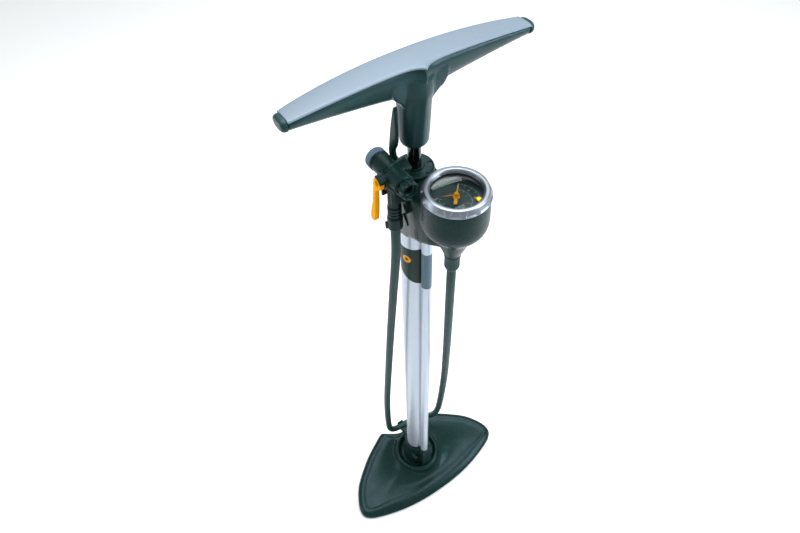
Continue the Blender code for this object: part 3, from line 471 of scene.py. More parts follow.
# ---------------------------------------------------------------------------------- camera
cam_data = bpy.data.cameras.new("camera")
cam_data.sensor_width = 36.0
cam_data.lens = 26.85
cam_data.clip_start, cam_data.clip_end = 0.01, 60
camera = bpy.data.objects.new("camera", cam_data)
SCENE.collection.objects.link(camera)
back = Vector((-0.3397, -0.5424, 0.7684)).normalized()
up = Vector((0.4407, 0.6300, 0.6395))
up = (up - back * up.dot(back)).normalized()
right = up.cross(back)
camera.matrix_world = Matrix((
    (right.x, up.x, back.x, -0.2257), (right.y, up.y, back.y, -0.3303), (right.z, up.z, back.z, 0.9818), (0, 0, 0, 1)))
SCENE.camera = camera

# ---------------------------------------------------------------------------------- dimensions shared with the frame, in millimetres
GAUGE_Y = -59.4
HEAD_X, HEAD_Z = -34.0, 659.0
HEAD_Y0, HEAD_Y1 = -36.7, 2.2
STEM_Y = -19.0
BASE_OUTLINE = [
    (0, -68), (32, -66.8), (62, -62.6), (90, -55.4), (113, -47), (124, -39), (127, -29.5),
    (123.4, -14.5), (110, 8), (91, 26), (69, 43), (46, 56.6), (35, 62.6), (31.5, 64.1), (28, 63.4), (20, 57.9), (10, 51.0), (0, 47.2),
]
HOSE_ROUTE = [
    (0, GAUGE_Y, 556.7), (0.5, GAUGE_Y + 0.6, 525), (6, -52.5, 455), (16, -40.5, 370), (27.5, -25.5, 280),
    (36, -10.5, 190), (40.5, 1.5, 125), (39.0, 14.0, 86), (27.0, 28.5, 66), (10.0, 35.2, 60.4), (-4.0, 36.0, 60.0),
    (-18.0, 36.8, 62.5), (-27.0, 36.0, 78), (-31.0, 32.5, 120), (-31.8, 28.6, 190), (-32.2, 18.5, 280),
    (-32.8, 5.0, 390), (-33.6, -8.5, 490), (HEAD_X, STEM_Y + 1.2, 560), (HEAD_X, STEM_Y, 597.7),
]
HOSE_R = 4.5

# ---------------------------------------------------------------------------------- materials
DARK = (0.0045, 0.0190, 0.0155)
base_mat = moulded("base_composite", DARK, 0.28, 0.19, tint=(0.62, 0.82, 1.0), edge_highlight=0.08)
black_mat = moulded("black_plastic", (0.0040, 0.0165, 0.0135), 0.34, 0.17, tint=(0.62, 0.82, 1.0), edge_highlight=0.1)
housing_mat = moulded("housing_plastic", (0.0045, 0.0195, 0.0165), 0.30, 0.17, tint=(0.62, 0.82, 1.0), edge_highlight=0.1)
handle_mat = moulded("handle_plastic", (0.0120, 0.0400, 0.0380), 0.34, 0.30, tint=(0.62, 0.82, 1.0), edge_highlight=0.12)
grey_mat = moulded("grey_plastic", (0.085, 0.135, 0.185), 0.46, 0.3, vary=0.06, edge_highlight=0.12)
hose_mat = rubber("hose_rubber", (0.0110, 0.0360, 0.0310), 0.48, 0.26, tint=(0.7, 0.85, 1.0))
seal_mat = rubber("seal_rubber", (0.0060, 0.0100, 0.0095), 0.6)
foot_mat = rubber("rubber_foot", (0.010, 0.012, 0.012), 0.7)
steel_mat = metal("steel", (0.55, 0.56, 0.58), 0.28, brushed="turned")
dark_steel_mat = metal("dark_steel", (0.045, 0.060, 0.060), 0.30, 0.9, brushed="turned")
brass_mat = metal("brass", (0.66, 0.48, 0.20), 0.30, brushed="turned")
chrome_mat = metal("bezel_chrome", (0.30, 0.335, 0.38), 0.35, brushed="turned", depth=0.000004)
rod_mat = metal("rod_steel", (0.060, 0.085, 0.085), 0.16, brushed="turned", depth=0.000004)


def orange_plastic(name, colour, crease_shade):
    t = Tree(name)
    soft = t.noise(45, 3, 0.5)
    fine = t.noise(1800, 2, 0.5)
    point = t.add("ShaderNodeNewGeometry").outputs["Pointiness"]
    tone = t.mix(t.ramp(soft, 0.3, 0.7), colour, scaled_colour(colour, 0.93))
    # painted shade: hollows and creases, where pointiness is low, are mixed towards a darker copy of the orange
    tone = t.mix(t.ramp(point, 0.47, 0.42, 0.0, 0.5), tone, crease_shade)
    t.set(color=tone, rough=t.ramp(soft, 0.3, 0.7, 0.34, 0.42), spec=0.03, normal=t.bump(fine, 0.15, 0.00002))
    return t.mat


orange_mat = orange_plastic("lever_orange", (1.0, 0.41, 0.0), (0.80, 0.15, 0.0))
needle_mat = orange_plastic("pointer_orange", (0.95, 0.38, 0.010), (0.80, 0.18, 0.005))
yellow_mat = orange_plastic("marker_yellow", (0.95, 0.62, 0.015), (0.80, 0.42, 0.010))


def plate_material():
    """Silver lacquer with a very fine flake."""
    t = Tree("handle_plate")
    flake, cloud = t.noise(5200, 2, 0.5), t.noise(26, 3, 0.5)
    lines = t.noise(1.0, 2, 0.5, t.scaled(25, 2400, 2400))
    colour = (0.185, 0.235, 0.290)
    tone = t.mix(t.ramp(flake, 0.35, 0.7), scaled_colour(colour, 0.94), scaled_colour(colour, 1.08))
    tone = t.mix(t.ramp(cloud, 0.4, 0.7, 0.0, 0.3), tone, scaled_colour(colour, 0.92))
    t.set(color=tone, rough=t.ramp(lines, 0.3, 0.7, 0.42, 0.50), metal=0.2, spec=0.25,
          normal=t.bump(flake, 0.1, 0.00001))
    return t.mat


plate_mat = plate_material()


def barrel_material():
    """Drawn satin alloy with a printed dark band near its top: green-black round the tube, blue-grey on the lobe."""
    t = Tree("barrel_alloy")
    x, y, z = t.xyz()
    lines = t.noise(1.0, 3, 0.6, t.scaled(2600, 2600, 16))
    cloud = t.noise(30, 3, 0.5)
    alloy = (0.50, 0.555, 0.63)
    tone = t.mix(t.ramp(lines, 0.3, 0.7), scaled_colour(alloy, 0.96), scaled_colour(alloy, 1.04))
    tone = t.mix(t.ramp(cloud, 0.4, 0.7, 0.0, 0.2), tone, scaled_colour(alloy, 0.95))
    radius = t.math("SQRT", t.math("ADD", t.math("MULTIPLY", x, x), t.math("MULTIPLY", y, y)))
    facing = t.math("DIVIDE", y, t.math("MAXIMUM", radius, 0.004))  # -1 at the front, 1 at the back
    low = t.math("MULTIPLY_ADD", facing, 0.0115, 0.5018)
    ink_edge = t.noise(900, 2, 0.5)
    wobble = t.math("MULTIPLY", t.math("SUBTRACT", ink_edge, 0.5), 0.0003)
    zz = t.math("ADD", z, wobble)
    above = t.ramp(t.math("SUBTRACT", zz, low), -0.00015, 0.00015)
    below = t.ramp(zz, 0.54385, 0.54415, 1.0, 0.0)
    band = t.math("MULTIPLY", above, below)
    lobe = t.ramp(y, -0.0158, -0.0154, 1.0, 0.0)
    ink = t.mix(lobe, (0.016, 0.040, 0.034), (0.105, 0.165, 0.205))
    # an orange ring on the band, with a dark centre
    dx = t.math("SUBTRACT", t.math("ARCTAN2", x, t.math("MULTIPLY", y, -1.0)), -1.22)
    across = t.math("MULTIPLY", dx, 0.015)
    rise = t.math("SUBTRACT", z, 0.5275)
    away = t.math("SQRT", t.math("ADD", t.math("MULTIPLY", across, across), t.math("MULTIPLY", rise, rise)))
    front_side = t.ramp(lobe, 0.4, 0.6, 1.0, 0.0)
    dot = t.math("MULTIPLY", t.ramp(away, 0.0049, 0.0051, 1.0, 0.0), front_side)
    core = t.math("MULTIPLY", t.ramp(away, 0.0019, 0.0021, 1.0, 0.0), front_side)
    ink = t.mix(dot, ink, (0.90, 0.33, 0.010))
    ink = t.mix(core, ink, (0.016, 0.040, 0.034))
    colour = t.mix(band, tone, ink)
    rough = t.math("ADD", t.ramp(lines, 0.3, 0.7, 0.30, 0.38), t.math("MULTIPLY", band, 0.06))
    metalness = t.ramp(band, 0.0, 1.0, 0.62, 0.0)
    t.set(color=colour, rough=rough, metal=metalness, spec=t.ramp(band, 0.0, 1.0, 0.45, 0.14), normal=t.bump(lines, 0.18, 0.000012))
    return t.mat


barrel_mat = barrel_material()

# ---------------------------------------------------------------------------------- hose
ROUTE = even(spline(HOSE_ROUTE, 24), 460, False)


def swept(path, radius, sides=28, caps=True):
    """Round tube along a path, its rings turned as little as possible from one to the next."""
    loops, side = [], None
    n = len(path)
    for i in range(n):
        along = (path[min(i + 1, n - 1)] - path[max(i - 1, 0)]).normalized()
        if side is None:
            side = along.orthogonal().normalized()
        side = (side - along * side.dot(along)).normalized()
        other = along.cross(side)
        r = radius(i / (n - 1)) if callable(radius) else radius
        loops.append([tuple(path[i] + (side * math.cos(a) + other * math.sin(a)) * r)
                      for a in (2 * math.pi * k / sides for k in range(sides))])
    return loft(loops, cap=caps)


hose = finish_mesh("hose_tube", swept(ROUTE, HOSE_R))
shade(hose, 40)
give(hose, hose_mat)
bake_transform(hose)
# a share for each vertex of the strand that runs up to the head: it grows along the hose from mid height to the ferrule
run = [0.0]
for p, q in zip(ROUTE, ROUTE[1:]):
    run.append(run[-1] + (q - p).length)
path_np = np.array([[p.x, p.y, p.z] for p in ROUTE]) * MM
co = np.array([v.co for v in hose.data.vertices], float).reshape(-1, 3)
near = np.array([int(np.argmin(((path_np - c) ** 2).sum(1))) for c in co])
share = np.clip((np.array(run)[near] - (run[-1] - 290.0)) / 280.0, 0.0, 1.0)
share = share * share * (3 - 2 * share)
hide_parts("hose")
[tuple(p * MM) for p in even(ROUTE, 160, False)]

# ---------------------------------------------------------------------------------- base
N_EDGE = 260
edge_right = [Vector((x, y)) for x, y in BASE_OUTLINE]
edge_left = [Vector((-x, y)) for x, y in reversed(BASE_OUTLINE[1:-1])]
EDGE = even(spline(edge_right + edge_left, 16, closed=True), N_EDGE, True)


def front_share(p):
    """1 along the front edge, 0 at the tips and the back."""
    t = max(0.0, min(1.0, (-p.y - 30.0) / 26.0))
    return t * t * (3 - 2 * t)


def stepped_insets(distances):
    """Insets of the edge: every point moves towards the middle, further where the edge lies askew, so no loop crosses itself."""
    lean = []
    for i in range(N_EDGE):
        along = (EDGE[(i + 3) % N_EDGE] - EDGE[i - 3]).normalized()
        lean.append(max(abs(Vector((-along.y, along.x)).dot(EDGE[i].normalized())), 0.5))
    for _ in range(12):
        lean = [(lean[i - 1] + 2 * lean[i] + lean[(i + 1) % N_EDGE]) / 4 for i in range(N_EDGE)]
    return {d: [p * (1 - d / (k * p.length)) for p, k in zip(EDGE, lean)] for d in sorted(distances)}


rim = [(0.0, 4.6), (0.15, 6.0), (0.8, 7.8), (1.9, 9.4), (3.4, 10.6), (5.2, 11.3), (7.2, 11.6), (9.2, 11.5), (11.0, 11.1),
       (12.8, 10.65), (15.0, 10.4), (18.0, 10.5)]
wide = [(0.0, 4.0), (0.3, 5.0), (1.5, 6.6), (3.6, 8.2), (6.4, 9.8), (9.6, 11.0), (12.6, 11.6), (15.0, 11.7), (17.2, 11.5),
        (19.4, 11.25), (22.0, 11.1), (24.5, 11.3)]
needed = sorted({d for d, _ in rim} | {d for d, _ in wide} | {0.9, 3.2, 4.2})
LOOPS = stepped_insets(needed)


# in the bay at the back the ring stands close to the edge, so the rim is squeezed there
room = []
for e, far in zip(EDGE, LOOPS[18.0]):
    room.append(min(1.0, max(0.3, (e.length - 36.9) / max((far - e).length, 1e-6))))
for _ in range(6):
    room = [(room[i - 1] + 2 * room[i] + room[(i + 1) % N_EDGE]) / 4 for i in range(N_EDGE)]


def rim_loop(k):
    out = []
    a, b = LOOPS[rim[k][0]], LOOPS[wide[k][0]]
    for i in range(N_EDGE):
        w = front_share(EDGE[i])
        p = EDGE[i] + (a[i].lerp(b[i], w) - EDGE[i]) * room[i]
        out.append((p.x, p.y, rim[k][1] * (1 - w) + wide[k][1] * w))
    return out


rows = [[(p.x, p.y, 2.3) for p in LOOPS[0.9]], [(p.x, p.y, 2.75) for p in relaxed(LOOPS[0.15], 0.0)]]
rows += [rim_loop(k) for k in range(len(rim))]
shoulder = rows[-1]
RING_ANGLES = [math.atan2(p[1], p[0]) for p in shoulder]


def ring_row(r, z):
    return [(r * math.cos(a), r * math.sin(a), z) for a in RING_ANGLES]


rise = [(0.12, 0.25), (0.25, 0.8), (0.38, 1.6), (0.5, 2.7), (0.62, 4.1), (0.73, 5.8), (0.83, 7.9), (0.91, 10.2), (0.97, 12.8)]
foot_ring = ring_row(36.0, 24.5)
for t, dz in rise:
    row = []
    for s, f in zip(shoulder, foot_ring):
        row.append((s[0] + (f[0] - s[0]) * t, s[1] + (f[1] - s[1]) * t, s[2] + dz * (24.5 - s[2]) / 15.3))
    rows.append(row)
for r, z in ((35.6, 25.2), (35.0, 27.0), (34.2, 28.8), (33.0, 29.8), (31.6, 30.0), (30.2, 29.7), (29.2, 28.8), (28.2, 27.0),
             (27.4, 25.4), (26.4, 24.5), (25.0, 24.15), (23.0, 24.0)):
    rows.append(ring_row(r, z))
# the hollow underside, from the bottom edge in to the hub
under = [[(p.x, p.y, 2.3) for p in LOOPS[3.2]], [(p.x, p.y, 3.0) for p in LOOPS[4.2]]]
for k in (6, 8, 10):
    under.append([(p[0], p[1], max(3.2, p[2] - 3.4)) for p in rim_loop(k)])
for t, dz in rise[1::2]:
    row = []
    for s, f in zip(shoulder, foot_ring):
        p = Vector((s[0] + (f[0] - s[0]) * t, s[1] + (f[1] - s[1]) * t))
        p *= 1 - 2.6 * t / p.length
        row.append((p.x, p.y, s[2] + dz * (24.5 - s[2]) / 15.3 - 3.4 + 0.8 * t))
    under.append(row)
under += [ring_row(30.5, 20.8), ring_row(26.0, 20.0), ring_row(24.4, 18.5), ring_row(23.4, 2.9), ring_row(22.8, 2.3)]
base = finish_mesh("base_shell", loft(under[::-1] + rows))


def barrel_outline(tube_r, lobe_r, web=3.2, n=30, lobe_y=-20.5):
    join_y = -math.sqrt(tube_r ** 2 - web ** 2)
    lobe_join = lobe_y + math.sqrt(max(lobe_r ** 2 - web ** 2, 0))
    pts = []
    a0 = math.atan2(join_y, web)
    for i in range(n + 1):
        a = a0 + (2 * math.pi - 2 * (a0 + math.pi / 2)) * i / n
        pts.append((tube_r * math.cos(a), tube_r * math.sin(a)))
    b0 = math.atan2(lobe_join - lobe_y, -web)
    m = max(n // 3, 8)
    sweep = 2 * math.pi - (math.pi - 2 * (math.pi - b0))
    for i in range(m + 1):
        b = b0 + sweep * i / m
        pts.append((lobe_r * math.cos(b), lobe_y + lobe_r * math.sin(b)))
    return [Vector(p) for p in pts]


def barrel_prism(grow, z0, z1, n=96):
    plan = barrel_outline(15.0 + grow, 5.5 + grow, 3.2 + grow * 0.6, n)
    return loft([[(p.x, p.y, z) for p in plan] for z in (z0, z1)])


cut(base, barrel_prism(0.3, 9.7, 40), rod(2.6, -1, 15, 24), rod(5.2, 1, 6.2, 32))
put(base, base_mat, "base_composite", "frame", "base_plate", angle=50)

# ---------------------------------------------------------------------------------- socket that clamps the barrel
socket = merge(
    "socket_shell",
    turned([(0, 24.3), (21.8, 24.3), (21.8, 27.8), (20.0, 30.3), (18.8, 70.3), (17.6, 71.5), (0, 71.5)], 96, soft=1.0),
    loft([[(-9.5, -7, 30.6), (9.5, -7, 30.6), (8.0, -29.6, 30.6), (-8.0, -29.6, 30.6)],
          [(-9.5, -7, 45.0), (9.5, -7, 45.0), (8.0, -29.2, 45.0), (-8.0, -29.2, 45.0)],
          [(-9.0, -7, 73.3), (9.0, -7, 73.3), (7.2, -27.8, 73.3), (-7.2, -27.8, 73.3)]]),
    rod(4.0, 0, 9.5, 40, (-13.4, -19.4, 50.0), "Y", 0.6),
    rod(4.0, 0, 9.5, 40, (13.4, -19.4, 50.0), "Y", 0.6))
fuse(socket, 0.5, 5)
cut(socket, barrel_prism(0.3, 15, 90), rod(2.9, -3.0, 2.3, 32, (-13.4, -19.4, 50.0), "Y"),
    rod(2.9, -3.0, 2.3, 32, (13.4, -19.4, 50.0), "Y"))
put(socket, black_mat, "black_plastic", "frame", "base_socket", angle=45)


def hex_screw(name, at, axis, h0, r, length, body, node, drive=0.5):
    """Round head with a hexagonal drive."""
    head = finish_mesh(name, turned([(0, h0), (r * 0.82, h0), (r, h0 + r * 0.35), (r, h0 + length), (0, h0 + length)], 48, at, axis, 0.25))
    u, v, w = AXES[axis]
    hexa = [Vector(at) + (u * math.cos(math.pi * k / 3) + v * math.sin(math.pi * k / 3)) * r * drive for k in range(6)]
    cut(head, loft([[tuple(p + w * h) for p in hexa] for h in (h0 - 1, h0 + r * 0.55)]))
    return put(head, dark_steel_mat, "steel", body, node)


for side, sx in (("left", -1), ("right", 1)):
    hex_screw(f"socket_bolt_{side}", (sx * 13.4, -19.4, 50.0), "Y", -0.9, 2.6, 2.9, "frame", f"socket_screw_{side}")

# ---------------------------------------------------------------------------------- barrel
barrel = finish_mesh("barrel_tube", loft([[(p.x, p.y, z) for p in barrel_outline(15.0 - s, 5.5 - s, 3.2, 120)]
                                          for z, s in ((10.0, 0.3), (10.3, 0.0), (627.7, 0.0), (628.0, 0.3))]))
cut(barrel, rod(13.0, 0, 700, 72), rod(3.0, 20, 700, 32, (0, -20.5, 0)))
put(barrel, barrel_mat, "barrel_alloy", "frame", "barrel", angle=35)

# ---------------------------------------------------------------------------------- hook that holds the hose behind the socket
def hook_outline():
    inner, outer = HOSE_R + 0.5, HOSE_R + 3.1
    pts = []
    for i in range(29):
        a = math.pi + math.pi * 1.12 * i / 28
        pts.append(Vector((36.0 + outer * math.cos(a), 60.0 + outer * math.sin(a))))
    tip = math.pi * 2.12
    mid = (inner + outer) / 2
    for i in range(1, 8):
        b = math.pi * i / 8
        c = Vector((36.0 + mid * math.cos(tip), 60.0 + mid * math.sin(tip)))
        out, on = Vector((math.cos(tip), math.sin(tip))), Vector((-math.sin(tip), math.cos(tip)))
        pts.append(c + out * (outer - mid) * math.cos(b) + on * (outer - mid) * math.sin(b))
    for i in range(29):
        a = tip - math.pi * 1.12 * i / 28
        pts.append(Vector((36.0 + inner * math.cos(a), 60.0 + inner * math.sin(a))))
    return pts


hook = merge("hook_shell",
             pillow(hook_outline(), -9.0, 1.0, 0.6),
             block(-8.6, 0.6, 16, 30.3, 54.6, 63.4),
             loft([[(x, 17, 46), (x, 30, 53), (x, 30, 55.5), (x, 17, 55.5)] for x in (-5.0, -3.0)]))
fuse(hook, 0.4, 4)
cut(hook, rod(20.4, 0, 100, 72))
put(hook, black_mat, "black_plastic", "frame", "hose_hook", angle=45)

# ---------------------------------------------------------------------------------- top housing
def web_row(y, w_low, w_top, z_low, z_top, n=10):
    """Cross section of the web at y, as wide as collar and bowl are there, with round lower corners."""
    box = [(-w_low, z_low), (w_low, z_low), (w_top, z_top), (-w_top, z_top)]
    loop = soften(box, 7.0 if z_top > 632 else 5.0, n, closed=True)
    return [(p.x, y, p.y) for p in loop]


web_rows = [(0, 18.9, 18.9, 567.2, 631.0), (-6, 19.8, 20.0, 567.6, 631.1), (-10, 20.4, 20.8, 568.4, 631.2), (-14.5, 21.0, 21.6, 570.8, 631.3),
            (-18.6, 21.4, 22.3, 573.9, 631.4), (-19.3, 21.5, 22.4, 574.4, 638.6), (-23.5, 22.1, 23.2, 577.4, 639.8),
            (-28, 22.8, 24.0, 580.4, 640.8), (-34, 23.6, 25.0, 584.0, 641.5), (-40, 24.2, 25.9, 587.4, 642.0),
            (-46, 23.4, 26.8, 590.8, 642.0), (-52, 21.4, 27.3, 593.0, 642.0), (-57, 14.2, 26.0, 590.6, 640.0)]
housing = merge(
    "housing_shell",
    turned([(0, 567.0), (18.6, 567.0), (19.3, 567.3), (19.6, 568.0), (19.6, 631.8), (0, 631.8)], 144, soft=0.5),
    turned([(0, 579.0), (8.0, 579.0), (9.3, 583.0), (10.8, 587.0), (12.2, 590.5), (13.6, 594.5), (15.2, 599.0), (17.4, 603.6), (20.8, 607.4),
            (24.0, 611.3), (27.2, 616.0), (28.7, 620.5), (29.2, 625.5), (29.2, 630.0), (28.8, 641.0), (28.2, 650.3), (0, 650.3)],
           176, (0, GAUGE_Y, 0), soft=1.2),
    loft([web_row(*r) for r in web_rows]))
fuse(housing, 0.7, 6)
# a small eye for the hose strap on the left wall
eye_ring = [Vector(q) for q in ((-16.8, 622.6), (-24.6, 628.0), (-24.4, 612.4))]
eye_hole = [Vector(q) for q in ((-19.6, 621.8), (-22.9, 624.0), (-22.8, 616.2))]
unite(housing, loft([[(x, q.x, q.y) for q in soften([tuple(v) for v in eye_ring], 1.4, 4, closed=True)] for x in (-20.5, -25.6)]))
cut(housing, loft([[(x, q.x, q.y) for q in soften([tuple(v) for v in eye_hole], 0.6, 4, closed=True)] for x in (-23.4, -28.0)]))
unite(housing, loft([[(x, y, z) for y, z in ((-14.6, 604.5), (-13.0, 603.0), (-20.6, 593.6), (-22.2, 595.0))] for x in (-20.0, -22.9)]))
cut(housing, barrel_prism(0.3, 550, 628.3), rod(12.0, 600, 700, 64),
    turned([(0, 610.2), (20.0, 610.2), (25.3, 617.5), (25.3, 700), (0, 700)], 128, (0, GAUGE_Y, 0)),
    rod(3.4, 560, 620, 32, (0, GAUGE_Y, 0)))
put(housing, housing_mat, "housing_plastic", "frame", "top_housing", angle=50)

cap = finish_mesh("cap_disc", turned([
    (0, 632.3), (17.2, 632.3), (18.0, 633.0), (18.0, 637.2), (17.4, 638.6), (16.0, 639.3), (0, 639.3)], 128, soft=0.5))
cut(cap, rod(9.0, 600, 700, 64), rod(2.6, 636.7, 700, 32, (5.5, 13.0, 0)), rod(2.6, 636.7, 700, 32, (12.8, -5.6, 0)),
    rod(1.1, 638.4, 700, 16, (3.0, -15.0, 0)))
put(cap, housing_mat, "housing_plastic", "frame", "top_cap", angle=40)
for side, (sx, sy) in (("left", (5.5, 13.0)), ("right", (12.8, -5.6))):
    s = finish_mesh(f"cap_bolt_{side}", turned([(0, 637.0), (2.3, 637.0), (2.3, 638.2), (1.8, 638.8), (0, 638.8)], 40, (sx, sy, 0), soft=0.2))
    cut(s, block(sx - 1.5, sx + 1.5, sy - 0.3, sy + 0.3, 638.2, 640), block(sx - 0.3, sx + 0.3, sy - 1.5, sy + 1.5, 638.2, 640))
    put(s, dark_steel_mat, "steel", "frame", f"cap_screw_{side}")

# ---------------------------------------------------------------------------------- gauge
G = (0, GAUGE_Y, 0)
ZERO, FULL = math.radians(47), math.radians(47 - 270)


def dial_material():
    t = Tree("dial_face")
    fine, cloud = t.noise(3000, 2, 0.5), t.noise(60, 3, 0.5)
    tone = t.mix(t.ramp(cloud, 0.35, 0.7), (0.011, 0.032, 0.029), (0.016, 0.042, 0.038))
    t.set(color=tone, rough=0.42, spec=0.25, normal=t.bump(fine, 0.1, 0.00001))
    return t.mat


def print_material(name, colour):
    t = Tree(name)
    fine = t.noise(2600, 2, 0.5)
    t.set(color=t.mix(t.ramp(fine, 0.35, 0.7), scaled_colour(colour, 0.9), scaled_colour(colour, 1.06)), rough=0.5, spec=0.3)
    return t.mat


dial_mat, white_print, red_print = dial_material(), print_material("print_pale", (0.55, 0.60, 0.60)), print_material("print_red", (0.45, 0.05, 0.03))
dial = finish_mesh("dial_disc", turned([(1.9, 641.0), (24.6, 641.0), (24.6, 642.0), (23.9, 642.05), (23.6, 641.9), (1.9, 641.9)], 160, G))
put(dial, dial_mat, "dial", "frame", "dial_plate")


def bar(r0, r1, half, z0, z1, angle, centre=(0, GAUGE_Y)):
    c, s = math.cos(angle), math.sin(angle)
    pts = [(r0, -half), (r1, -half), (r1, half), (r0, half)]
    return loft([[(centre[0] + x * c - y * s, centre[1] + x * s + y * c, z) for x, y in pts] for z in (z0, z1)])


ticks = []
for i in range(81):
    share_ = i / 80
    a = ZERO + (FULL - ZERO) * share_
    long = 0.0 if i % 5 else (1.6 if i % 20 == 0 else 0.9)
    ticks.append(bar(19.2 - long, 20.9, 0.10 if i % 5 else 0.19, 641.95, 642.06, a))
inner = []
for i in range(12):
    a = ZERO + (FULL - ZERO) * i * 14.5 / 160
    inner.append(bar(11.6, 12.9, 0.14, 641.95, 642.06, a))
scale = merge("dial_scale", *ticks, *inner)
put(scale, white_print, "dial", "frame")


def arc_band(r0, r1, z0, z1, a0, a1, n=60):
    outer = [(r1 * math.cos(a0 + (a1 - a0) * i / n), GAUGE_Y + r1 * math.sin(a0 + (a1 - a0) * i / n)) for i in range(n + 1)]
    inner_ = [(r0 * math.cos(a0 + (a1 - a0) * i / n), GAUGE_Y + r0 * math.sin(a0 + (a1 - a0) * i / n)) for i in range(n, -1, -1)]
    bm = bmesh.new()
    ring = outer + inner_
    low = [bm.verts.new((x, y, z0)) for x, y in ring]
    high = [bm.verts.new((x, y, z1)) for x, y in ring]
    m = len(ring)
    for k in range(m):
        bm.faces.new((low[k], low[(k + 1) % m], high[(k + 1) % m], high[k]))
    for k in range(n):
        a, b, c, d = k, k + 1, m - 2 - k, m - 1 - k
        bm.faces.new((low[a], low[d], low[c], low[b]))
        bm.faces.new((high[a], high[b], high[c], high[d]))
    return bm


red = finish_mesh("dial_limit_arc", arc_band(17.1, 18.0, 641.95, 642.05, FULL, FULL + math.radians(34)))
put(red, red_print, "dial", "frame")
thin = finish_mesh("dial_inner_line", arc_band(13.1, 13.3, 641.95, 642.05, FULL, ZERO, 140))
put(thin, white_print, "dial", "frame")


def numeral(text, size, r, angle, up_angle, z=641.95):
    curve = bpy.data.curves.new("numeral", "FONT")
    curve.body, curve.size, curve.extrude = text, size, 0.06
    curve.align_x, curve.align_y = "CENTER", "CENTER"
    curve.resolution_u = 3
    obj = bpy.data.objects.new("numeral", curve)
    SCENE.collection.objects.link(obj)
    obj.location = (r * math.cos(angle), GAUGE_Y + r * math.sin(angle), z + 0.06)
    obj.rotation_euler = (0, 0, up_angle - math.pi / 2)
    bpy.context.view_layer.update()
    dg = bpy.context.evaluated_depsgraph_get()
    mesh = bpy.data.meshes.new_from_object(obj.evaluated_get(dg))
    mesh.transform(obj.matrix_world)
    bpy.data.objects.remove(obj, do_unlink=True)
    bm = bmesh.new()
    bm.from_mesh(mesh)
    bpy.data.meshes.remove(mesh)
    bmesh.ops.remove_doubles(bm, verts=bm.verts, dist=1e-4)
    return bm


UP = ZERO + math.radians(45 + 180)
marks = [numeral(str(40 * i), 2.7, 15.9, ZERO + (FULL - ZERO) * i / 4, UP) for i in range(5)]
marks += [numeral(str(20 + 40 * i), 1.9, 16.3, ZERO + (FULL - ZERO) * (2 * i + 1) / 8, UP) for i in range(4)]
marks += [numeral(str(2 * i), 1.7, 10.2, ZERO + (FULL - ZERO) * 2 * i * 14.5 / 160, UP) for i in range(6)]
numbers = merge("dial_numbers", *marks)
put(numbers, white_print, "dial", "frame")


def needle_shape(tip, tail, hub, wide, aim, z0, z1, point=0.22, name="needle_blade"):
    """Pointer: slim tapering tip, widening to its hub, and a broad rounded tail."""
    plan = [(tip, point * 0.5), (tip * 0.62, point * 1.6), (hub * 1.25, wide * 0.62), (hub * 0.7, wide * 0.85), (0, wide * 0.9),
            (-hub * 0.8, wide * 0.8), (-hub * 1.2, wide), (-tail * 0.9, wide * 1.12), (-tail, wide * 0.9)]
    ring = [Vector(p) for p in plan] + [Vector((x, -y)) for x, y in reversed(plan)]
    c, s = math.cos(aim), math.sin(aim)
    area = sum(a.x * b.y - b.x * a.y for a, b in zip(ring, ring[1:] + ring[:1]))
    if area < 0:
        ring.reverse()
    rows_ = [(z0, 0.0), (z0 + (z1 - z0) * 0.55, 0.0), (z1, 0.09)]
    return loft([[(p.x * c - p.y * s, GAUGE_Y + p.x * s + p.y * c, z) for p in inset(ring, e)] for z, e in rows_])


needle = finish_mesh("needle_blade", needle_shape(15.4, 8.6, 3.0, 1.35, ZERO, 646.0, 646.8))
unite(needle, turned([(0, 645.9), (2.9, 645.9), (2.9, 647.0), (2.3, 647.5), (1.5, 647.6), (0, 647.2)], 48, G, soft=0.2))
put(needle, needle_mat, "pointer_orange", "needle", "needle")
tip = finish_mesh("needle_tip", loft([[(x * math.cos(ZERO) - y * math.sin(ZERO), GAUGE_Y + x * math.sin(ZERO) + y * math.cos(ZERO), z)
                                       for x, y in ((10.4, -0.42), (15.4, -0.14), (15.4, 0.14), (10.4, 0.42))] for z in (646.75, 646.9)]))
put(tip, print_material("needle_tip_paint", (0.75, 0.55, 0.50)), "pointer_orange", "needle")
HAND = math.radians(156)
hand = finish_mesh("set_hand_blade", needle_shape(11.5, 2.6, 1.8, 0.5, HAND, 648.6, 649.05))
unite(hand, turned([(0, 648.5), (1.8, 648.5), (1.8, 650.2), (1.4, 650.6), (0, 650.6)], 40, G, soft=0.2))
put(hand, needle_mat, "pointer_orange", "bezel", "set_hand")

MARK = math.radians(-65)
mark_c, mark_s = math.cos(MARK), math.sin(MARK)
mark_ring = [Vector(p) for p in ((17.0, 0.0), (18.6, -1.5), (21.0, -2.3), (21.15, 0.0), (21.0, 2.3), (18.6, 1.5))]
marker = finish_mesh("marker_wedge", loft([[(p.x * mark_c - p.y * mark_s, GAUGE_Y + p.x * mark_s + p.y * mark_c, z) for p in inset(mark_ring, e)]
                                           for z, e in ((653.15, 0.15), (653.4, 0.0), (654.3, 0.0), (654.7, 0.35))]))
put(marker, yellow_mat, "marker_yellow", "bezel", "target_marker")


def glass_material():
    t = Tree("lens_glass")
    smear = t.noise(160, 4, 0.6)
    t.set(color=(0.93, 0.97, 0.97), rough=t.ramp(smear, 0.4, 0.75, 0.0, 0.03), transmission=1.0, ior=1.49, spec=0.5)
    return t.mat


lens = finish_mesh("lens_disc", turned([(0, 651.0), (22.6, 651.0), (22.9, 651.3), (22.9, 652.3), (22.6, 652.6), (18.0, 652.72), (10.0, 652.8), (0, 652.82)], 160, G))
put(lens, glass_material(), "lens", "bezel", "gauge_lens", angle=20)


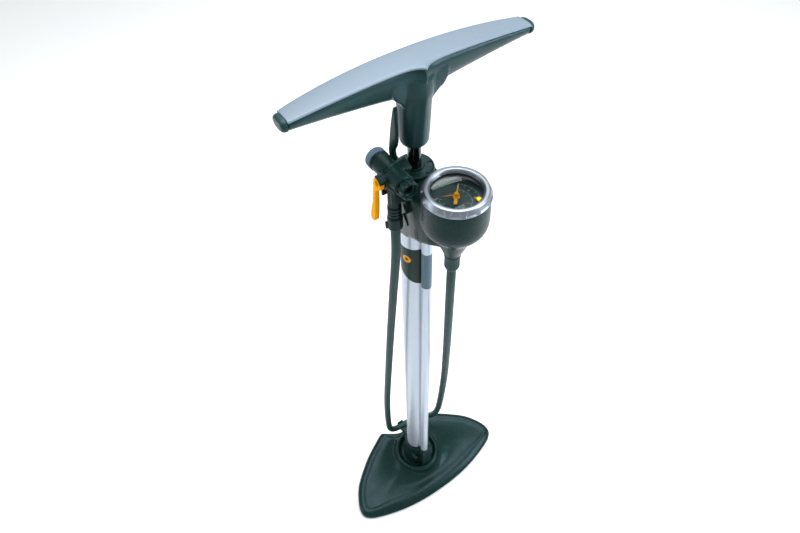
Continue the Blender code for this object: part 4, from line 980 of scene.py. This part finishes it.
def bezel_pockets(a, r, h):
    """Fourteen shallow trapezoid grips round the sloping side of the ring."""
    if not (651.0 < h < 656.4) or r < 26.6:
        return r
    turn = (a * 14 / (2 * math.pi) + 0.5) % 1.0 - 0.5
    half = 0.40 - 0.15 * (h - 651.6) / 4.2
    side = max(0.0, min(1.0, (half - abs(turn)) / 0.07))
    side = side * side * (3 - 2 * side)
    level = max(0.0, min(1.0, (h - 651.5) / 0.35)) * max(0.0, min(1.0, (655.9 - h) / 0.35))
    return r - 0.85 * side * level


bezel_side = [(29.2, 650.6), (29.2, 651.2)]
for i in range(17):
    f = i / 16
    bezel_side.append((29.1 - 2.15 * f ** 1.1, 651.4 + 4.9 * f))
bezel = finish_mesh("bezel_shell", turned(
    [(23.3, 650.6)] + bezel_side + [(26.75, 656.6), (26.3, 656.85), (25.6, 656.98), (24.6, 657.0), (23.7, 656.95), (23.0, 656.7), (22.5, 656.2),
                                    (22.1, 655.3), (21.8, 654.2), (21.6, 653.3), (21.9, 653.05), (23.3, 653.05)], 448, G, shape=bezel_pockets))
put(bezel, chrome_mat, "bezel_chrome", "bezel", "bezel_ring", angle=50)

# ---------------------------------------------------------------------------------- boot and barb
def boot_flutes(a, r, h):
    if 562.0 < h < 573.6 and r > 5.6:
        k = min(1.0, (h - 562.0) / 0.8, (573.6 - h) / 0.8)
        return r - 0.42 * k * (0.5 - 0.5 * math.cos(20 * a)) ** 0.7
    return r


boot = finish_mesh("boot_shell", turned([
    (2.9, 559.6), (4.9, 557.25), (5.3, 557.5), (5.9, 558.9), (6.7, 560.6), (7.1, 561.8), (7.2, 562.6), (7.2, 564.0), (7.2, 567.0), (7.2, 570.0),
    (7.2, 573.0), (7.2, 573.9), (7.05, 574.6), (7.4, 575.2), (7.7, 575.8), (7.7, 578.4), (7.5, 578.65), (2.9, 578.65)], 240, G, shape=boot_flutes))
put(boot, hose_mat, "hose_rubber", "frame", "hose_boot", angle=40)

# ---------------------------------------------------------------------------------- arm that docks the head
dock = merge(
    "dock_shell",
    loft([[(-8.5, -8.0, 639.7), (-8.5, 8.5, 639.7), (-8.5, 6.0, 649.4), (-8.5, -5.0, 650.2)],
          [(-10.5, -9.0, 639.7), (-10.5, 7.5, 639.7), (-10.5, 5.0, 650.0), (-10.5, -6.0, 650.8)],
          [(-16.5, -14.0, 639.7), (-16.5, 3.5, 639.7), (-16.5, 1.0, 650.4), (-16.5, -9.0, 651.0)],
          [(-21.0, -20.0, 641.2), (-21.0, -3.0, 641.2), (-21.0, -4.6, 650.4), (-21.0, -15.0, 651.0)],
          [(-27.0, -27.0, 641.2), (-27.0, -11.0, 641.2), (-27.0, -11.0, 649.4), (-27.0, -27.0, 649.4)],
          [(-33.0, -28.0, 641.2), (-33.0, -10.0, 641.2), (-33.0, -10.0, 649.4), (-33.0, -28.0, 649.4)]]),
    loft([[(x, y, z) for x, y in ((-41.5, -27.0), (-40.0, -28.8), (-25.5, -28.8), (-25.5, -9.2), (-40.0, -9.2), (-41.5, -11.0))]
          for z in (635.0, 649.3)]),
    loft([[(-12.5, -4.5, 648.0), (-12.5, 5.0, 648.0), (-12.5, 4.0, 651.0), (-12.5, -4.0, 651.0)],
          [(-20.5, -12.5, 648.0), (-20.5, -4.0, 648.0), (-20.5, -5.0, 650.9), (-20.5, -12.0, 650.9)]]))
fuse(dock, 0.45, 5)
cut(dock, rod(6.1, 620, 660, 48, (HEAD_X, STEM_Y, 0)), block(-60, HEAD_X, STEM_Y - 6.1, STEM_Y + 6.1, 620, 660),
    rod(2.6, 645.5, 660, 32, (-14.0, -2.4, 0)), rod(9.4, HEAD_Y0 - 6, HEAD_Y1 + 8, 64, (HEAD_X, 0, HEAD_Z), "Y"),
    barrel_prism(6, 560, 639.5))
put(dock, black_mat, "black_plastic", "frame", "head_dock", angle=50)
s = finish_mesh("dock_bolt", turned([(0, 645.9), (2.3, 645.9), (2.3, 649.0), (1.7, 649.7), (0, 649.7)], 40, (-14.0, -2.4, 0), soft=0.25))
cut(s, block(-15.5, -12.5, -2.7, -2.1, 649.0, 651), block(-14.3, -13.7, -3.9, -0.9, 649.0, 651))
put(s, dark_steel_mat, "steel", "frame", "dock_screw")

# ---------------------------------------------------------------------------------- pump head
LEFT = Vector((-47.0, -17.5, 656.0))
RIGHT = Vector((-21.8, -2.5, 657.0))


def fan(centre, r, a0, a1, n, apex=None):
    pts = [Vector((centre[0] + r * math.cos(math.radians(a0 + (a1 - a0) * i / n)), centre[1] + r * math.sin(math.radians(a0 + (a1 - a0) * i / n))))
           for i in range(n + 1)]
    if apex is not None:
        pts.append(Vector(apex))
    return pts


def slab(outline, x0, x1):
    return loft([[(x, p.x, p.y) for p in outline] for x in (x0, x1)])


hood = []
for i in range(37):
    a = math.radians(78 + 82 * i / 36)
    hood.append(Vector((LEFT.y + 7.9 * math.cos(a), LEFT.z + 7.9 * math.sin(a))))
for i in range(37):
    a = math.radians(160 - 82 * i / 36)
    hood.append(Vector((LEFT.y + 6.1 * math.cos(a), LEFT.z + 6.1 * math.sin(a))))
# tongue that reaches over the dock arm: a sloping plate with a raised rib along its back edge
tongue_rows = [((-42.0, -16.6, 666.2), (-39.6, -23.0, 666.6), 660.5, 660.5), ((-38.5, -18.0, 668.3), (-36.5, -23.5, 667.4), 661.0, 661.0),
               ((-33.5, -17.4, 668.4), (-32.0, -24.0, 667.6), 661.0, 661.0), ((-29.6, -15.7, 667.6), (-28.0, -23.4, 666.0), 661.0, 660.0),
               ((-25.0, -12.8, 665.4), (-23.6, -22.0, 662.6), 662.0, 659.0), ((-20.3, -10.0, 663.0), (-19.0, -20.5, 659.2), 660.4, 656.6),
               ((-17.4, -8.2, 661.4), (-16.6, -19.2, 657.9), 658.8, 655.3), ((-14.8, -6.8, 660.0), (-14.4, -17.4, 656.8), 657.4, 654.2)]
tongue = [[a, b, (b[0], b[1], zb), (a[0], a[1], za)] for a, b, za, zb in tongue_rows]
rib = [[(x - 0.5, y + 0.9, z - 4.0), (x - 0.35, y + 0.65, z + 0.9), (x + 0.3, y - 0.45, z + 1.0), (x + 0.6, y - 1.0, z - 4.0)]
       for (x, y, z) in [r[0] for r in tongue_rows]]
head = merge(
    "head_shell",
    turned([(0, HEAD_Y0), (8.2, HEAD_Y0), (9.0, HEAD_Y0 + 1.0), (9.0, HEAD_Y1 - 1.0), (8.2, HEAD_Y1), (0, HEAD_Y1)], 96, (HEAD_X, 0, HEAD_Z), "Y"),
    turned([(0, 625.0), (5.75, 625.0), (5.75, 644.0), (6.0, 650.0), (7.6, 655.0), (7.6, 658), (0, 658.0)], 72, (HEAD_X, STEM_Y, 0)),
    slab(hood, -49.9, -42.0),
    slab(fan((LEFT.y, LEFT.z), 7.9, 0, 355, 48), -44.05, -38.0),
    slab(fan((RIGHT.y, RIGHT.z), 5.4, 0, 355, 40), -28.0, -23.95),
    loft(tongue),
    loft(rib),
    swept([Vector((-43.4, y, 656.6 - 0.02 * (y + 36))) for y in range(-36, -9, 2)], 0.9, 12),
    swept([Vector((-42.4, y, 653.6 - 0.02 * (y + 36))) for y in range(-36, -9, 2)], 0.9, 12))
fuse(head, 0.36, 4)
cut(head,
    rod(5.6, HEAD_Y0 - 5, HEAD_Y0 + 12.5, 48, (HEAD_X, 0, HEAD_Z), "Y"),
    rod(5.6, HEAD_Y1 - 12.5, HEAD_Y1 + 5, 48, (HEAD_X, 0, HEAD_Z), "Y"),
    rod(1.7, HEAD_Y0 + 5, HEAD_Y1 - 5, 24, (HEAD_X, 0, HEAD_Z), "Y"))
put(head, black_mat, "black_plastic", "head", "head_body", angle=50)
for k, y in enumerate((HEAD_Y0 + 1.4, HEAD_Y1 - 1.5)):
    ring = finish_mesh(f"head_collar_{k + 1}", turned([(8.8, y - 0.8), (9.55, y - 0.55), (9.55, y + 0.55), (8.8, y + 0.8)], 96, (HEAD_X, 0, HEAD_Z), "Y", 0.3))
    put(ring, black_mat, "black_plastic", "head")
stem = [(0, 613.8), (5.9, 613.8), (6.3, 614.2)]
for k in range(3):
    z = 614.4 + 3.55 * k
    stem += [(6.25, z), (6.3, z + 1.0), (6.25, z + 2.4), (5.55, z + 2.55), (5.55, z + 3.2), (6.2, z + 3.35)]
stem += [(5.9, 625.6), (5.4, 626.2), (0, 626.2)]
collar = finish_mesh("stem_ribs", turned(stem, 96, (HEAD_X, STEM_Y, 0), soft=0.25))
put(collar, black_mat, "black_plastic", "head")
ferrule = merge(
    "ferrule_shell",
    turned([(0, 598.0), (5.9, 598.0), (6.9, 599.0), (7.0, 600.4), (7.0, 610.8), (6.7, 612.4), (6.1, 613.4), (0, 613.4)], 96, (HEAD_X, STEM_Y, 0)),
    loft([[(HEAD_X - 8.3, STEM_Y + 2.0, z), (HEAD_X - 4.0, STEM_Y + 1.0, z), (HEAD_X - 3.0, STEM_Y + 4.5, z), (HEAD_X - 7.2, STEM_Y + 5.6, z)] for z in (598.4, 604.5)]))
fuse(ferrule, 0.35, 3)
put(ferrule, black_mat, "black_plastic", "head", "hose_ferrule", angle=50)


def front_scallops(a, r, h):
    if r < 6.9:
        return r
    k = min(1.0, (r - 6.9) / 0.8)
    return r - 1.05 * k * (0.5 - 0.5 * math.cos(10 * a)) ** 0.75


front = finish_mesh("front_ring_shell", turned([
    (4.4, -37.0), (7.7, -37.0), (8.3, -37.4), (8.4, -38.2), (8.4, -40.4), (8.4, -42.6), (8.2, -43.3), (7.6, -43.9), (7.0, -44.0), (6.4, -43.9),
    (5.9, -43.2), (5.6, -41.8), (5.2, -41.2), (4.6, -41.0), (4.4, -40.7)][::-1], 240, (HEAD_X, 0, HEAD_Z), "Y", shape=front_scallops))
put(front, black_mat, "black_plastic", "front_ring", "front_ring", angle=40)


def rear_ribs(a, r, h):
    h -= HEAD_Y1
    if r < 8.6 or not 0.7 < h < 6.6:
        return r
    k = min(1.0, (h - 0.7) / 0.5, (6.6 - h) / 0.5)
    return r - 0.45 * k * (0.5 - 0.5 * math.cos(34 * a)) ** 0.8


rear = finish_mesh("rear_cap_shell", turned([(r, HEAD_Y1 + h) for r, h in (
    (4.4, 0.3), (9.0, 0.3), (9.5, 0.5), (9.6, 0.9), (9.6, 1.4), (9.6, 3.5), (9.6, 5.6), (9.55, 6.2), (9.2, 6.7), (8.6, 7.0), (7.4, 7.0), (6.9, 6.6),
    (5.6, 6.5), (4.9, 6.4), (4.4, 5.9))], 272, (HEAD_X, 0, HEAD_Z), "Y", shape=rear_ribs))
put(rear, grey_mat, "grey_plastic", "rear_cap", "rear_cap", angle=40)


def lever_ring(pivot, hub_r, arc, pieces, count=150):
    start, end = arc
    pts = [Vector((pivot.y + hub_r * math.cos(math.radians(start + (end - start) * i / 14)),
                   pivot.z + hub_r * math.sin(math.radians(start + (end - start) * i / 14)))) for i in range(15)]
    pts += [Vector(p) for p in pieces]
    ring = even(spline(pts, 10, closed=True), count, True)
    area = sum(a.x * b.y - b.x * a.y for a, b in zip(ring, ring[1:] + ring[:1]))
    return ring if area > 0 else ring[::-1]


py, pz = LEFT.y, LEFT.z
left_ring = lever_ring(LEFT, 5.4, (-15, 195), [
    (py - 4.9, pz - 3.6), (py - 3.4, pz - 5.4), (py - 0.4, pz - 7.4), (py + 1.8, pz - 9.2), (py + 3.2, pz - 12.6), (py + 3.9, pz - 23.5),
    (py + 5.3, pz - 38.0), (py + 6.4, pz - 45.8), (py + 7.6, pz - 48.8), (py + 10.2, pz - 50.6), (py + 13.0, pz - 49.6),
    (py + 13.9, pz - 46.5), (py + 12.6, pz - 38), (py + 9.0, pz - 25.9), (py + 7.3, pz - 14.6), (py + 6.0, pz - 6)])
left = finish_mesh("orange_lever_shell", pillow(left_ring, -49.4, -44.4, 1.1, 5))
cut(left, rod(1.85, -60, -40, 32, (0, py, pz), "X"))
put(left, orange_mat, "lever_orange", "orange_lever", "orange_lever", angle=40)
py, pz = RIGHT.y, RIGHT.z
right_ring = lever_ring(RIGHT, 4.6, (150, 375), [
    (py + 5.9, pz + 6), (py + 5.4, pz + 12), (py + 3.8, pz + 22), (py + 2.2, pz + 32), (py - 0.4, pz + 44), (py - 2.2, pz + 51.4),
    (py - 3.2, pz + 54.0), (py - 4.4, pz + 54.7), (py - 5.4, pz + 52.8), (py - 5.8, pz + 48), (py - 6.3, pz + 36),
    (py - 6.2, pz + 25), (py - 4.6, pz + 17.5), (py - 1.6, pz + 10.5)])
rightl = finish_mesh("black_lever_shell", pillow(right_ring, -23.6, -20.3, 0.9, 5))
cut(rightl, rod(1.85, -30, -10, 32, (0, py, pz), "X"))
put(rightl, black_mat, "black_plastic", "black_lever", "black_lever", angle=40)

# ---------------------------------------------------------------------------------- handle
PLATE_HALF, PLATE_T = 109.0, 2.2


def arm_shape(x):
    u = abs(x) / PLATE_HALF
    back_ = 17.0 - 8.2 * u ** 2.6
    front_ = -(8.8 + 1.4 * math.cos(min(u, 1.0) * math.pi / 2)) - 7.8 * math.exp(-abs(x) / 6.5)
    top = 742.3 - 5.6 * u ** 1.8
    bottom = 710.9 + 15.8 * u ** 0.9
    return front_, back_, top, bottom


def body_section(x, n=40):
    """Arm of the T: narrower just under the plate, fullest a little lower, round below."""
    front_, back_, top, bottom = arm_shape(x)
    u = abs(x) / PLATE_HALF
    near = max(0.0, 1 - u) ** 1.5
    high = top - PLATE_T - 0.3
    mid, half = (front_ + back_) / 2, (back_ - front_) / 2
    recess, drop = 0.9 + 1.5 * near, 1.6 + 3.6 * near
    tall = high - bottom
    pts = []
    for i in range(n + 1):
        f = i / n  # 0 at the back top, 1 at the front top, round the bottom
        a = math.pi * f
        w = math.copysign(abs(math.cos(a)) ** 0.72, math.cos(a))
        z = high - tall * math.sin(a) ** 0.8
        depth = high - z
        k = max(0.0, 1 - depth / drop)
        w *= 1 - (recess / half) * (k * k * (3 - 2 * k))
        pts.append((x, mid + half * w, z))
    return pts


def column_loop(z, r, beak, n=96):
    pts = []
    for i in range(n):
        a = 2 * math.pi * i / n
        x, y = r * math.cos(a), r * math.sin(a)
        if y < 0:
            y -= beak * max(0.0, 1 - abs(x) / (r * 0.8)) ** 1.15
        pts.append((x, y, z))
    return pts


def between_rows(rows_, per):
    """More rows between the given ones, on smooth curves through their points."""
    columns = [spline([Vector(row[i]) for row in rows_], per) for i in range(len(rows_[0]))]
    return [[tuple(col[k]) for col in columns] for k in range(len(columns[0]))]


arm_xs = [PLATE_HALF * (-1 + 2 * i / 80) for i in range(81)]
arm_xs += [s * v for v in (0.8, 1.7, 4.0, 6.5) for s in (-1, 1)]
arm_xs = sorted(set(round(v, 4) for v in arm_xs))
column_rows = [column_loop(z, r, b) for z, r, b in (
    (665.5, 9.2, 0), (665.8, 10.6, 0), (667.0, 11.9, 0.05), (669.5, 12.6, 0.1), (677, 13.1, 0.5), (690, 13.7, 1.2), (704, 14.3, 2.1),
    (712, 15.0, 2.6), (718, 16.0, 2.3), (724, 16.2, 1.4), (730, 16.0, 0.6))]
flare_rows = [[(sx * w, y * d, z) for sx, y in ((-1, -1), (1, -1), (1, 1), (-1, 1))] for z, w, d in
              ((703, 9.5, 6.0), (708, 14.8, 7.5), (713, 17.8, 9.0), (718, 23.0, 10.0), (724, 25.5, 10.5), (731, 25.5, 10.5))]
grip = merge("handle_shell", loft([body_section(x) for x in arm_xs]), loft(between_rows(column_rows, 4)), loft(between_rows(flare_rows, 4)))
fuse(grip, 0.8, 6)
cut(grip, rod(6.3, 640, 712.3, 64), rod(2.6, 700, 760, 32), rod(5.4, 731.5, 760, 48))
put(grip, handle_mat, "handle_plastic", "handle", "handle_body", angle=60)


def plate_section(x, n=16):
    front_, back_, top, _ = arm_shape(x)
    low = top - PLATE_T
    mid = (front_ + back_) / 2
    crown = [Vector((front_ + 0.6, low)), Vector((front_, low + 0.5)), Vector((front_, low + 1.2)), Vector((front_ + 0.9, top - 0.30))]
    rest = [Vector((back_ - 0.9, top - 0.30)), Vector((back_, low + 1.2)), Vector((back_, low + 0.5)), Vector((back_ - 0.6, low))]
    pts = [(x, p.x, p.y) for p in crown]
    for i in range(1, n):
        f = i / n
        y = front_ + 0.9 + (back_ - front_ - 1.8) * f
        pts.append((x, y, top - 0.30 + 0.6 * (1 - (2 * f - 1) ** 2) ** 0.8))
    return pts + [(x, p.x, p.y) for p in rest]


plate_xs = sorted(set(round(v, 4) for v in [PLATE_HALF * (-1 + 2 * i / 160) for i in range(161)]
                      + [s * v for v in (0.3, 0.7, 2.0, 3.4) for s in (-1, 1)]))
plate = finish_mesh("plate_shell", loft([plate_section(x) for x in plate_xs]))
rounded_edges(plate, 0.25, 2, 50)
put(plate, plate_mat, "handle_plate", "handle", "handle_top_plate", angle=50)

for side, sx in (("left", -1), ("right", 1)):
    loops = []
    front_, back_, top, bottom = arm_shape(PLATE_HALF)
    top += 0.1
    mid, half, zc, zh = (front_ + back_) / 2, (back_ - front_) / 2, (top + bottom) / 2, (top - bottom) / 2
    for dx, s in ((0.3, 0.97), (0.5, 1.0), (1.4, 1.0), (2.4, 0.985), (3.3, 0.95), (4.0, 0.90), (4.5, 0.84), (4.85, 0.76), (5.0, 0.66),
                  (5.05, 0.5), (5.05, 0.3)):
        loop = []
        for i in range(72):
            a = 2 * math.pi * i / 72
            c, t = math.cos(a), math.sin(a)
            loop.append((sx * (PLATE_HALF + dx), mid + half * s * math.copysign(abs(c) ** 0.7, c),
                         zc + zh * s * math.copysign(abs(t) ** 0.8, t)))
        loops.append(loop)
    end = finish_mesh(f"end_cap_{side}", loft(loops))
    put(end, handle_mat, "handle_plastic", "handle", f"handle_end_cap_{side}", angle=35)

rodpiece = finish_mesh("rod_bar", turned([(0, 45.0), (3.7, 45.0), (4.0, 45.4), (4.0, 62.3), (5.6, 62.3), (6.0, 62.8), (6.0, 711.6), (5.6, 712.0), (2.3, 712.0), (2.3, 696.0), (0, 695.0)], 96))
put(rodpiece, rod_mat, "rod_steel", "handle", "piston_rod")

# ---------------------------------------------------------------------------------- CAD pieces that stay
paint(foot_mat, "foot_left", "foot_right", "foot_front", "foot_back_left", "foot_back_right", "centre_pad")
paint(steel_mat, "centre_screw", "valve_spring", "piston_nut", "handle_screw", "lever_pin_right")
paint(orange_mat, "lever_pin_left")
paint(black_mat, "foot_plug", "piston_head", "rod_bushing")
paint(seal_mat, "foot_oring", "valve_poppet", "lens_gasket", "piston_cup", "rod_bumper", "front_gasket", "rear_gasket")
paint(brass_mat, "gauge_socket", "bourdon_tube", "movement_plate", "hose_barb", "sector_gear", "needle_shaft")

# ---------------------------------------------------------------------------------- floor and light
def floor_material():
    t = Tree("floor_pale")
    cloud, fine = t.noise(3, 3, 0.5), t.noise(400, 2, 0.5)
    t.set(color=t.mix(t.ramp(cloud, 0.3, 0.7), (0.90, 0.905, 0.91), (0.92, 0.922, 0.925)), rough=0.7, spec=0.2,
          normal=t.bump(fine, 0.05, 0.0001))
    return t.mat


fb = bmesh.new()
bmesh.ops.create_grid(fb, x_segments=8, y_segments=8, size=9.0)
floor_mesh = bpy.data.meshes.new("floor")
fb.to_mesh(floor_mesh)
fb.free()
floor = bpy.data.objects.new("floor", floor_mesh)
SCENE.collection.objects.link(floor)
floor_mesh.materials.append(floor_material())
floor.location = (0, 0, -0.0002)


def softbox(name, at, aim, size, power, colour=(1, 1, 1)):
    data = bpy.data.lights.new(name, "AREA")
    data.shape, data.size, data.size_y = "RECTANGLE", size[0], size[1]
    data.energy, data.color = power, colour
    lamp = bpy.data.objects.new(name, data)
    SCENE.collection.objects.link(lamp)
    lamp.location = at
    lamp.rotation_mode = "QUATERNION"
    lamp.rotation_quaternion = (Vector(aim) - Vector(at)).to_track_quat("-Z", "Y")
    return lamp


world = bpy.data.worlds.new("studio")
SCENE.world = world
world.use_nodes = True
wt = world.node_tree
wt.nodes.clear()
w_out = wt.nodes.new("ShaderNodeOutputWorld")
w_bg = wt.nodes.new("ShaderNodeBackground")
w_cam = wt.nodes.new("ShaderNodeBackground")
w_mix = wt.nodes.new("ShaderNodeMixShader")
w_path = wt.nodes.new("ShaderNodeLightPath")
w_tc = wt.nodes.new("ShaderNodeTexCoord")
w_sep = wt.nodes.new("ShaderNodeSeparateXYZ")
w_ramp = wt.nodes.new("ShaderNodeValToRGB")
wt.links.new(w_tc.outputs["Generated"], w_sep.inputs[0])
w_map = wt.nodes.new("ShaderNodeMapRange")
w_map.inputs["From Min"].default_value, w_map.inputs["From Max"].default_value = -1.0, 1.0
wt.links.new(w_sep.outputs["Z"], w_map.inputs["Value"])
wt.links.new(w_map.outputs["Result"], w_ramp.inputs[0])
w_ramp.color_ramp.elements[0].position, w_ramp.color_ramp.elements[0].color = 0.0, (0.45, 0.47, 0.48, 1)
w_ramp.color_ramp.elements[1].position, w_ramp.color_ramp.elements[1].color = 1.0, (1.0, 1.0, 1.0, 1)
mid_stop = w_ramp.color_ramp.elements.new(0.5)
mid_stop.color = (0.50, 0.53, 0.55, 1)
wt.links.new(w_ramp.outputs[0], w_bg.inputs["Color"])
w_bg.inputs["Strength"].default_value = 0.75
w_cam.inputs["Color"].default_value = (1, 1, 1, 1)
w_cam.inputs["Strength"].default_value = 1.0
wt.links.new(w_path.outputs["Is Camera Ray"], w_mix.inputs[0])
wt.links.new(w_bg.outputs[0], w_mix.inputs[1])
wt.links.new(w_cam.outputs[0], w_mix.inputs[2])
wt.links.new(w_mix.outputs[0], w_out.inputs[0])

softbox("key_right", (1.02, -1.06, 1.30), (0, 0, 0.40), (0.62, 1.3), 24, (0.84, 0.92, 1.0))
softbox("fill_left", (-1.25, 0.62, 0.90), (0, 0, 0.50), (0.35, 1.5), 6, (0.92, 0.97, 1.0))
softbox("window", (0.80, 1.37, 2.2), (0, -0.06, 0.65), (0.7, 0.9), 5.5, (0.85, 1.0, 0.98))
softbox("top", (0.25, 0.35, 2.2), (0, 0, 0.4), (1.5, 1.2), 34, (1.0, 1.0, 1.0))

SCENE.view_settings.view_transform = "Standard"
SCENE.view_settings.look = "None"
SCENE.view_settings.exposure = 0.0
SCENE.view_settings.gamma = 1.0
